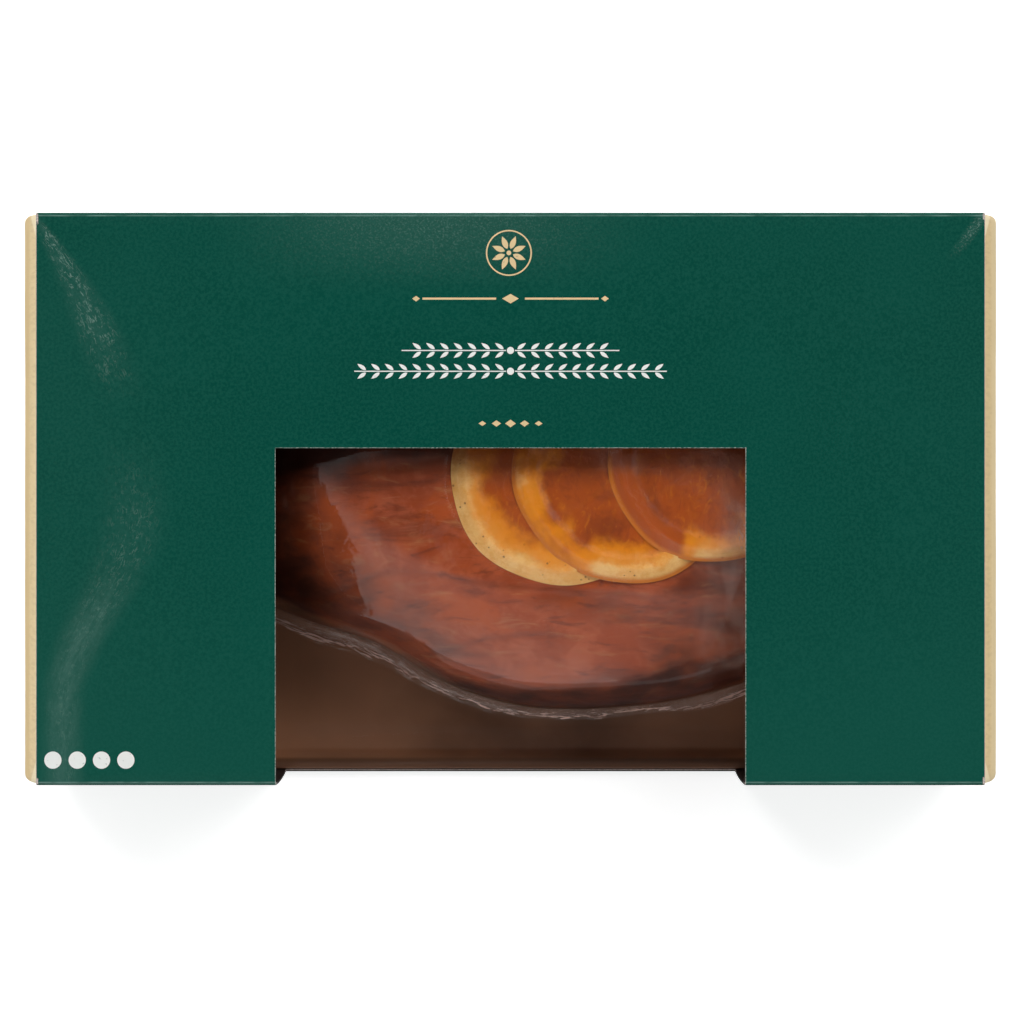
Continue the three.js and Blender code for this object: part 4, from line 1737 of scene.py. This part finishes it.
def thicken(piece: Piece, board: float) -> None:
    """Gives a sheet its board thickness inwards, with cut edges and an inner face of their own finish.

    Args:
        piece: The sheet, facing out.
        board: Thickness in millimetres.
    """
    solid = piece.modifiers.new("board", "SOLIDIFY")
    solid.thickness = board * MM
    solid.offset = -1.0
    solid.use_even_offset = True
    solid.material_offset_rim = 1
    solid.material_offset = 2
    for _ in range(3):
        piece.data.materials.append(None)
    settled = piece.evaluated_get(bpy.context.evaluated_depsgraph_get())
    thick = bpy.data.meshes.new_from_object(settled)
    piece.modifiers.clear()
    piece.data = thick
    piece.data.set_sharp_from_angle(angle=math.radians(40.0))


@dataclass
class EndClosure:
    """One bowed end: the dust flaps, the inner flap and the gold outer flap over them."""

    form: CartonForm
    end: End
    corner_run: float = 8.0
    dust_length: float = 60.0
    dust_rows: int = 34
    dust_start: float = 0.52
    lap: float = 0.06

    def curve(self, foot: float, head: float, depth: float, steps: int) -> tuple[Array, Array]:
        """A stretch of an end flap's arc, set in by a depth.

        Args:
            foot: Height at which it starts.
            head: Height at which it ends.
            depth: How far inside the outer flap it lies.
            steps: Number of points.

        Returns:
            The x and z of its points.
        """
        z = np.linspace(foot, head, steps)
        return self.form.half_length + self.form.bow(z) - depth, z

    def flap(self, name: str, x: Array, z: Array, inset: float, facing_down: bool) -> Piece:
        """Makes one flap from its outline, seen along Y.

        Args:
            name: The piece's name.
            x: Outline places from the crease on.
            z: Outline heights from the crease on.
            inset: How far its cut ends stand in from the carton's faces.
            facing_down: True if the outline runs from the top crease down.

        Returns:
            The flap with its board thickness, its corners tucked in a little.
        """
        form = self.form
        half = form.half_width - inset
        bend = np.linspace(0.0, 1.0, 7) ** 2 * self.corner_run
        level = np.linspace(self.corner_run - half, half - self.corner_run, 46)[1:-1]
        y = np.concatenate([-half + bend, level, (half - bend)[::-1]])
        grid_y = np.broadcast_to(y, (x.size, y.size))
        length = np.concatenate([[0.0], np.cumsum(np.hypot(np.diff(x), np.diff(z)))])[:, None]
        from_end = half - np.abs(grid_y)
        corner = np.clip(1.0 - from_end / 7.4 - length / 34.0, 0.0, 1.0)
        tuck = 0.8 * corner * np.minimum(length / 2.0, 1.0) + 0.8 * np.clip(1 - from_end / 1.6, 0, 1) ** 2
        tuck = tuck * np.minimum(length / 4.0, 1.0)
        ripple = 0.12 * layered_noise(grid_y, length + 0 * grid_y, 30.0, 131 + self.end.value)
        grid_x = (x[:, None] - tuck + ripple * np.minimum(length / 6.0, 1.0)) * self.end.value
        grid_z = z[:, None] + 0 * grid_x
        faces = grid_faces(x.size, y.size, False)
        outwards = facing_down == (self.end is End.RIGHT)
        points = np.stack([grid_x, grid_y, grid_z], -1).reshape(-1, 3)
        piece = mesh_object(name, points, faces if outwards else faces[:, ::-1])
        thicken(piece, form.board)
        places = np.empty(len(piece.data.vertices) * 3, np.float32)
        piece.data.vertices.foreach_get("co", places)
        places[2::3] = np.maximum(places[2::3], 0.0)
        piece.data.vertices.foreach_set("co", places)
        return piece

    def build(self) -> list[Piece]:
        """Makes the end.

        Returns:
            The outer flap, the inner flap and the two dust flaps.
        """
        form = self.form
        side = self.end.name.lower()
        r, h, x0 = form.crease, form.height, form.half_length
        chord = h / 2 - r
        lean = math.asin(chord / ((chord**2 + form.end_bow**2) / (2 * form.end_bow)))
        turn = np.linspace(math.pi / 2, math.pi / 2 - lean * 0.8, 7)
        fold_x, fold_z = x0 - r + r * np.cos(turn), r * np.sin(turn) - r
        arc_x, arc_z = self.curve(form.flap_foot, h - 2.2 * r, 0.0, 40)
        start = x0 + self.lap
        outer_x = np.concatenate([[start], np.maximum(fold_x[1:], start), arc_x[::-1]])
        outer_z = np.concatenate([[h], h + fold_z[1:], arc_z[::-1]])
        outer = self.flap(f"outer_flap_{side}", outer_x, outer_z, form.flap_inset, True)
        in_x, in_z = self.curve(2.2 * r, h - 9.0, form.board + 0.12, 40)
        inner_x = np.concatenate([[start - 0.1], np.maximum(fold_x[1:], start) - 0.1, in_x])
        inner_z = np.concatenate([[0.0], -fold_z[1:], in_z])
        inner = self.flap(f"inner_flap_{side}", inner_x, inner_z, form.flap_inset + 0.5, False)
        return [outer, inner, self.dust(1), self.dust(-1)]

    def dust(self, face: int) -> Piece:
        """Makes one dust flap, which folds from a long wall's end and lies behind the inner flap.

        Args:
            face: 1 for the back wall, -1 for the front wall.

        Returns:
            The flap: it leaves the wall round its crease and bulges out to the inner flap's arc.
        """
        form = self.form
        flat = np.linspace(1.6, self.dust_length, self.dust_rows)
        in_from_face = np.concatenate([[0.0, 0.08, 0.3, 0.62, 1.0], flat])
        corner = np.array([-0.08, 0.08, 0.30, 0.46, self.dust_start])
        z = np.linspace(0.8, form.height - 0.8, 36)[None, :]
        run = in_from_face[:, None]
        full = form.bow(z) - 2 * form.board - 0.35
        start = np.concatenate([corner, np.full(self.dust_rows, self.dust_start)])[:, None]
        settle = np.sin(np.clip((run - 0.6) / 13.0, 0.0, 1.0) * math.pi / 2)
        x = form.half_length + np.minimum(start, full) * (1 - settle) + full * settle
        y = face * (form.half_width - run) + 0 * z
        side = self.end.name.lower()
        where = "back" if face > 0 else "front"
        faces = grid_faces(*x.shape, False)
        if face * self.end.value > 0:
            faces = faces[:, ::-1]
        points = np.stack([x * self.end.value, y, z + 0 * x], -1).reshape(-1, 3)
        piece = mesh_object(f"dust_flap_{side}_{where}", points, faces)
        thicken(piece, form.board)
        return piece


@dataclass
class Ornament:
    """Generic printed marks on the top panel, lying on its bowed surface."""

    form: CartonForm
    clear: float = 0.05

    def lay(self, name: str, shapes: list[Array]) -> Piece:
        """Puts flat shapes on the panel.

        Args:
            name: The piece's name.
            shapes: Each shape's outline points, which fan out from their middle.

        Returns:
            One mesh of them all, just above the board.
        """
        points, faces, count = [], [], 0
        for outline in shapes:
            rings = np.linspace(0.0, 1.0, 4)[1:, None, None]
            middle = outline.mean(0)
            grid = (middle + (outline[None] - middle) * rings).reshape(-1, 2)
            points.append(np.concatenate([middle[None], grid]))
            size = len(outline)
            step = np.arange(size)
            after = (step + 1) % size
            fan = np.stack([np.zeros(size, int), 1 + step, 1 + after, 1 + after], -1)
            band = np.stack([1 + step, 1 + size + step, 1 + size + after, 1 + after], -1)
            faces.append(np.concatenate([fan, band, band + size]) + count)
            count += len(points[-1])
        flat = np.concatenate(points)
        z = self.form.height + self.form.panel_rise(flat[:, 0], flat[:, 1]) + self.clear
        quads = np.concatenate(faces)
        return poly_object(name, np.column_stack([flat, z]), quads)

    @staticmethod
    def disc(x: float, y: float, radius: float, sides: int = 24) -> Array:
        """A round dot's outline."""
        turn = circle(sides)
        return np.column_stack([x + radius * np.cos(turn), y + radius * np.sin(turn)])

    @staticmethod
    def bar(x: float, y: float, half_long: float, half_high: float) -> Array:
        """A thin bar's outline, with points along it so that it follows the bow.

        Args:
            x: Middle.
            y: Middle.
            half_long: Half its length.
            half_high: Half its height.

        Returns:
            The outline's points.
        """
        along = x + np.linspace(-half_long, half_long, 25)
        top = np.column_stack([along, np.full(25, y + half_high)])
        return np.concatenate([top[::-1], np.column_stack([along, np.full(25, y - half_high)])])

    @staticmethod
    def leaf(x: float, y: float, length: float, width: float, turn: float) -> Array:
        """A leaf's outline: a lens of sine sides.

        Args:
            x: Foot.
            y: Foot.
            length: Foot to tip.
            width: At its widest.
            turn: Direction of the tip, in radians.

        Returns:
            The outline's points.
        """
        t = np.linspace(0.0, 1.0, 11)
        side = width / 2 * np.sin(np.pi * t**0.8)
        along = np.concatenate([t, t[-2:0:-1]]) * length
        across = np.concatenate([side, -side[-2:0:-1]])
        return np.column_stack([
            x + along * math.cos(turn) - across * math.sin(turn),
            y + along * math.sin(turn) + across * math.cos(turn),
        ])

    @staticmethod
    def lozenge(x: float, y: float, half_long: float, half_high: float) -> Array:
        """A small diamond's outline."""
        return np.array([[x + half_long, y], [x, y + half_high], [x - half_long, y], [x, y - half_high]])

    @staticmethod
    def ring(x: float, y: float, inner: float, outer: float, steps: int = 48) -> list[Array]:
        """A thin round ring, as short pieces of arc side by side.

        Args:
            x: Middle.
            y: Middle.
            inner: Inner radius.
            outer: Outer radius.
            steps: Number of pieces.

        Returns:
            The pieces' outlines.
        """
        turn = np.arange(steps + 1) * FULL_TURN / steps
        near = np.column_stack([x + inner * np.cos(turn), y + inner * np.sin(turn)])
        far = np.column_stack([x + outer * np.cos(turn), y + outer * np.sin(turn)])
        return [np.array([near[k], far[k], far[k + 1], near[k + 1]]) for k in range(steps)]

    def garland(self, y: float, half_long: float, pitch: float, size: float) -> list[Array]:
        """A thin stem with paired leaves that point outwards from a small dot in the middle.

        Args:
            y: Height on the panel.
            half_long: Half the stem's length.
            pitch: Space between leaves.
            size: A leaf's length.

        Returns:
            The shapes' outlines.
        """
        marks = [self.disc(0.0, y, 0.34 * size)]
        marks += [self.bar(side * (half_long / 2 + 1.0), y, half_long / 2 - 0.4, 0.17) for side in (1, -1)]
        for step in range(int(half_long / pitch)):
            for side in (1, -1):
                x = side * (pitch * 0.5 + step * pitch)
                lean = 0.62 if side > 0 else math.pi - 0.62
                marks.append(self.leaf(x, y + 0.42, size, 0.36 * size, lean))
                marks.append(self.leaf(x, y - 0.42, size, 0.36 * size, -lean))
        return marks

    def gold(self) -> Piece:
        """The gold marks: a ringed rosette, a rule with a lozenge, and a short row of lozenges.

        Returns:
            One mesh of them all.
        """
        x, y, rule_y, row_y = -0.5, 76.9, 62.6, 23.6
        marks = self.ring(x, y, 6.75, 7.2) + [self.disc(x, y, 0.75)]
        for k in range(8):
            turn = (k + 0.5) * FULL_TURN / 8
            marks.append(self.leaf(1.35 * math.cos(turn) + x, 1.35 * math.sin(turn) + y, 4.3, 1.75, turn))
        marks += [self.bar(side * 16.0, rule_y, 11.5, 0.32) for side in (1, -1)]
        marks.append(self.lozenge(0.0, rule_y, 2.6, 1.5))
        marks += [self.lozenge(side * 29.5, rule_y, 1.2, 0.9) for side in (1, -1)]
        for step in range(-2, 3):
            marks.append(self.lozenge(step * 4.4, row_y, 1.7 - 0.25 * abs(step), 1.2 - 0.2 * abs(step)))
        return self.lay("gold_marks", marks)

    def white(self) -> Piece:
        """The white marks: two rows of leaves and a row of dots by the front corner.

        Returns:
            One mesh of them all.
        """
        marks = self.garland(46.4, 33.4, 4.3, 3.3) + self.garland(39.9, 48.2, 4.3, 3.3)
        first_x, dot_y, pitch = -143.0, -81.6, 7.6
        marks += [self.disc(first_x + pitch * k, dot_y, 2.7, 36) for k in range(4)]
        return self.lay("white_marks", marks)


def poly_object(name: str, points: Array, faces: Array) -> Piece:
    """Makes a mesh whose faces may repeat a corner, as the middle of a fan does.

    Args:
        name: The piece's name.
        points: Corner places in millimetres.
        faces: Corner numbers.

    Returns:
        The object, linked to the scene.
    """
    mesh = bpy.data.meshes.new(name)
    lists = [list(dict.fromkeys(face)) for face in faces.tolist()]
    mesh.from_pydata((points * MM).tolist(), [], lists)
    mesh.validate()
    made = bpy.data.objects.new(name, mesh)
    bpy.context.scene.collection.objects.link(made)
    return made


# ---- The studio ----


@dataclass
class Studio:
    """A pale floor, soft lights and a camera straight above."""

    face_height: float
    distance: float = 1850.0
    eye_y: float = 11.25
    points_per_mm: float = 3.2
    centre_px: tuple[float, float] = (510.5, 463.0)
    picture: float = 1024.0
    sensor: float = 36.0
    front_glow: float = 0.85
    high_glow: float = 9.0
    back_glow: float = 1.3
    right_glow: float = 0.9
    left_glow: float = 2.6
    strip_glow: float = 0.4
    ceiling_glow: float = 0.10
    floor_glow: float = 0.38

    def floor(self) -> None:
        """Lays the floor, dim in mirrors but for a soft stretch in front."""
        half = 3000.0
        points = np.array([[-half, -half, 0.0], [half, -half, 0.0], [half, half, 0.0], [-half, half, 0.0]])
        made = mesh_object("pale_floor", points, np.array([[0, 1, 2, 3]]))
        graph = Graph.material("floor_paint")
        lit = graph.principled(Base_Color=(0.8, 0.8, 0.8), Roughness=0.9, Specular_IOR_Level=0.0,
                               Emission_Color=(1.0, 1.0, 1.0), Emission_Strength=0.66)
        x, y, _ = graph.axes()
        slant = graph.minus(x, graph.times(y, 0.42))
        near = graph.plus(y, graph.span(x, -0.02, 0.02, 0.235, 0.45))
        before = graph.times(graph.fall(near, -0.012, 0.012), graph.span(slant, -0.005, 0.01))
        mirrored = graph.node("ShaderNodeEmission")
        graph.feed(mirrored.inputs["Strength"], graph.plus(graph.times(before, self.floor_glow), 0.03))
        glossy = graph.node("ShaderNodeLightPath").outputs["Is Glossy Ray"]
        made.data.materials.append(graph.surface(graph.blend(glossy, lit, mirrored.outputs["Emission"])))

    def world(self) -> None:
        """Sets the room's glow: soft panels on every side, a thin strip overhead and a dim ceiling."""
        world = bpy.data.worlds.new("studio_room")
        bpy.context.scene.world = world
        world.use_nodes = True
        world.node_tree.nodes.clear()
        graph = Graph(world.node_tree)
        x, y, level = graph.axes(graph.node("ShaderNodeTexCoord").outputs["Generated"])
        safe = graph.larger(level, 0.03)
        across, ahead = graph.over(x, safe), graph.over(y, safe)
        path = graph.node("ShaderNodeLightPath")
        glossy = path.outputs["Is Glossy Ray"]
        dimmed = graph.span(glossy, 0.0, 1.0, 1.0, 0.28)

        low = graph.plus(level, graph.span(across, -0.05, 0.2, 0.0, 0.05))
        front = graph.times(graph.span(x, -0.414, -0.406), graph.fall(low, 0.90, 0.968))
        front = graph.times(front, graph.fall(ahead, -0.02, 0.34))
        limit = graph.span(x, -0.05, 0.27, -0.1, 0.41)
        cut = graph.span(graph.minus(level, limit), -0.03, 0.03, 0.06, 1.0)
        front = graph.times(front, graph.larger(cut, graph.fall(glossy, 0.0, 1.0)))
        slope = graph.span(across, -0.4, 0.1, 1.78, 0.68)
        slope = graph.plus(slope, graph.span(across, 0.06, 0.25, 0.0, -0.32))
        slope = graph.times(slope, graph.span(glossy, 0.0, 1.0, 0.6, 1.0))

        behind = graph.span(ahead, 0.3, 0.45)
        beside = graph.minus(graph.size_of(across), graph.times(ahead, 0.4))
        wide = graph.plus(across, graph.times(ahead, 1.2))
        diagonal = graph.times(graph.span(beside, 0.0, 0.1), graph.span(wide, 0.0, 0.1))
        high_back = graph.times(graph.times(behind, diagonal), graph.span(level, 0.62, 0.68))
        high_back = graph.times(high_back, graph.span(glossy, 0.0, 1.0, 1.0, 0.13))
        low_back = graph.times(graph.times(behind, graph.fall(level, 0.5, 0.6)), dimmed)

        sideways = graph.times(y, 0.8)
        right = graph.times(graph.span(across, 0.5, 0.7), graph.span(graph.plus(x, sideways), 0.0, 0.08))
        left = graph.fall(graph.minus(x, sideways), -0.08, 0.0)
        left = graph.times(graph.times(graph.fall(level, 0.38, 0.5), left), dimmed)
        strip = graph.fall(graph.size_of(graph.plus(across, 0.12)), 0.01, 0.02)
        strip = graph.times(strip, graph.fall(graph.size_of(ahead), 0.25, 0.35))

        total = graph.times(front, graph.times(slope, self.front_glow))
        panels = (
            (high_back, self.high_glow), (low_back, self.back_glow), (right, self.right_glow),
            (left, self.left_glow), (strip, self.strip_glow),
        )
        for mask, glow in panels:
            total = graph.larger(total, graph.times(mask, glow))
        hole_x = graph.maths("POWER", graph.plus(across, 0.05), 2.0)
        hole = graph.maths("SQRT", graph.plus(hole_x, graph.maths("POWER", ahead, 2.0)))
        total = graph.plus(total, graph.span(hole, 0.07, 0.17, 0.003, self.ceiling_glow))
        room = graph.node("ShaderNodeBackground")
        graph.feed(room.inputs["Strength"], graph.larger(total, path.outputs["Is Camera Ray"]))
        graph.feed(graph.node("ShaderNodeOutputWorld").inputs["Surface"], room.outputs["Background"])

    def camera(self) -> None:
        """Hangs the camera above the carton, facing straight down."""
        data = bpy.data.cameras.new("camera")
        data.sensor_width = self.sensor
        data.lens = self.points_per_mm * self.distance * self.sensor / self.picture
        data.shift_x = (self.picture / 2 - self.centre_px[0]) / self.picture
        data.shift_y = (self.centre_px[1] - self.picture / 2) / self.picture
        data.clip_end = 20.0
        made = bpy.data.objects.new("camera", data)
        made.location = (0.0, self.eye_y * MM, (self.face_height + self.distance) * MM)
        bpy.context.scene.collection.objects.link(made)
        bpy.context.scene.camera = made

    def build(self) -> None:
        """Sets up the whole studio."""
        self.floor()
        self.world()
        self.camera()
        scene = bpy.context.scene
        scene.view_settings.view_transform = "Standard"
        scene.view_settings.look = "None"


# ---- All together ----


def main() -> None:
    """Builds every piece, dresses it and sets up the studio."""
    logging.basicConfig(level=logging.INFO, format="%(name)s: %(message)s")
    carton = CartonForm()
    pressed, fibre, grain = pressed_board_group(), paper_fibre_group(), meat_grain_group()
    green = GreenBoard(pressed, carton).material()
    gold = GoldBoard(pressed).material()
    cut = PlainBoard(fibre, "cut_board", (0.34, 0.285, 0.26), (0.62, 0.54, 0.50), dark_from=89.2)
    inner = PlainBoard(fibre, "inner_board", (0.018, 0.007, 0.005), (0.04, 0.018, 0.012))
    board = [cut.material(), inner.material()]

    finish_piece(Sleeve(carton).build(), [green, *board], "carton")
    for end in End:
        outer, inside, *dust = EndClosure(carton, end).build()
        finish_piece(outer, [gold, *board], "carton")
        finish_piece(inside, [gold, *board], "carton")
        for flap in dust:
            finish_piece(flap, [green, *board], "carton")

    marks = Ornament(carton)
    void = (0.004, 0.06, 0.045)
    gold_ink = Ink(pressed, "gold_ink", (0.80, 0.61, 0.33), void, 0.2, 0.4).material()
    white_ink = Ink(pressed, "white_ink", (0.80, 0.82, 0.79), void, 0.0, 0.35).material()
    finish_piece(marks.gold(), [gold_ink])
    finish_piece(marks.white(), [white_ink])

    form, tray = HamForm(), Tray()
    finish_piece(tray.build(form), [BrownTray().material()], "tray")
    finish_piece(HamJoint(form).build(), [GlazedMeat(grain).material()], "ham")
    orange = GlazedOrange().material()
    slices = [
        OrangeSlice("orange_slice_left", x=16.9, y=8.1, radius=35.7, seed=3, show_peel=False),
        OrangeSlice("orange_slice_middle", x=36.6, y=9.0, radius=35.7, seed=5, soaked=0.6, soaked_to=72.0),
        OrangeSlice("orange_slice_right", x=63.8, y=13.4, radius=33.5, seed=8, soaked=1.1, soaked_to=72.0),
    ]
    for order, item in enumerate(slices):
        finish_piece(item.build(form, slices[:order]), [orange], f"orange_slice_{order + 1}")
    finish_piece(FilmCover(form, tray, slices).build(), [ClearFilm().material()], "film")

    Studio(carton.height).build()


if __name__ == "__main__":
    main()
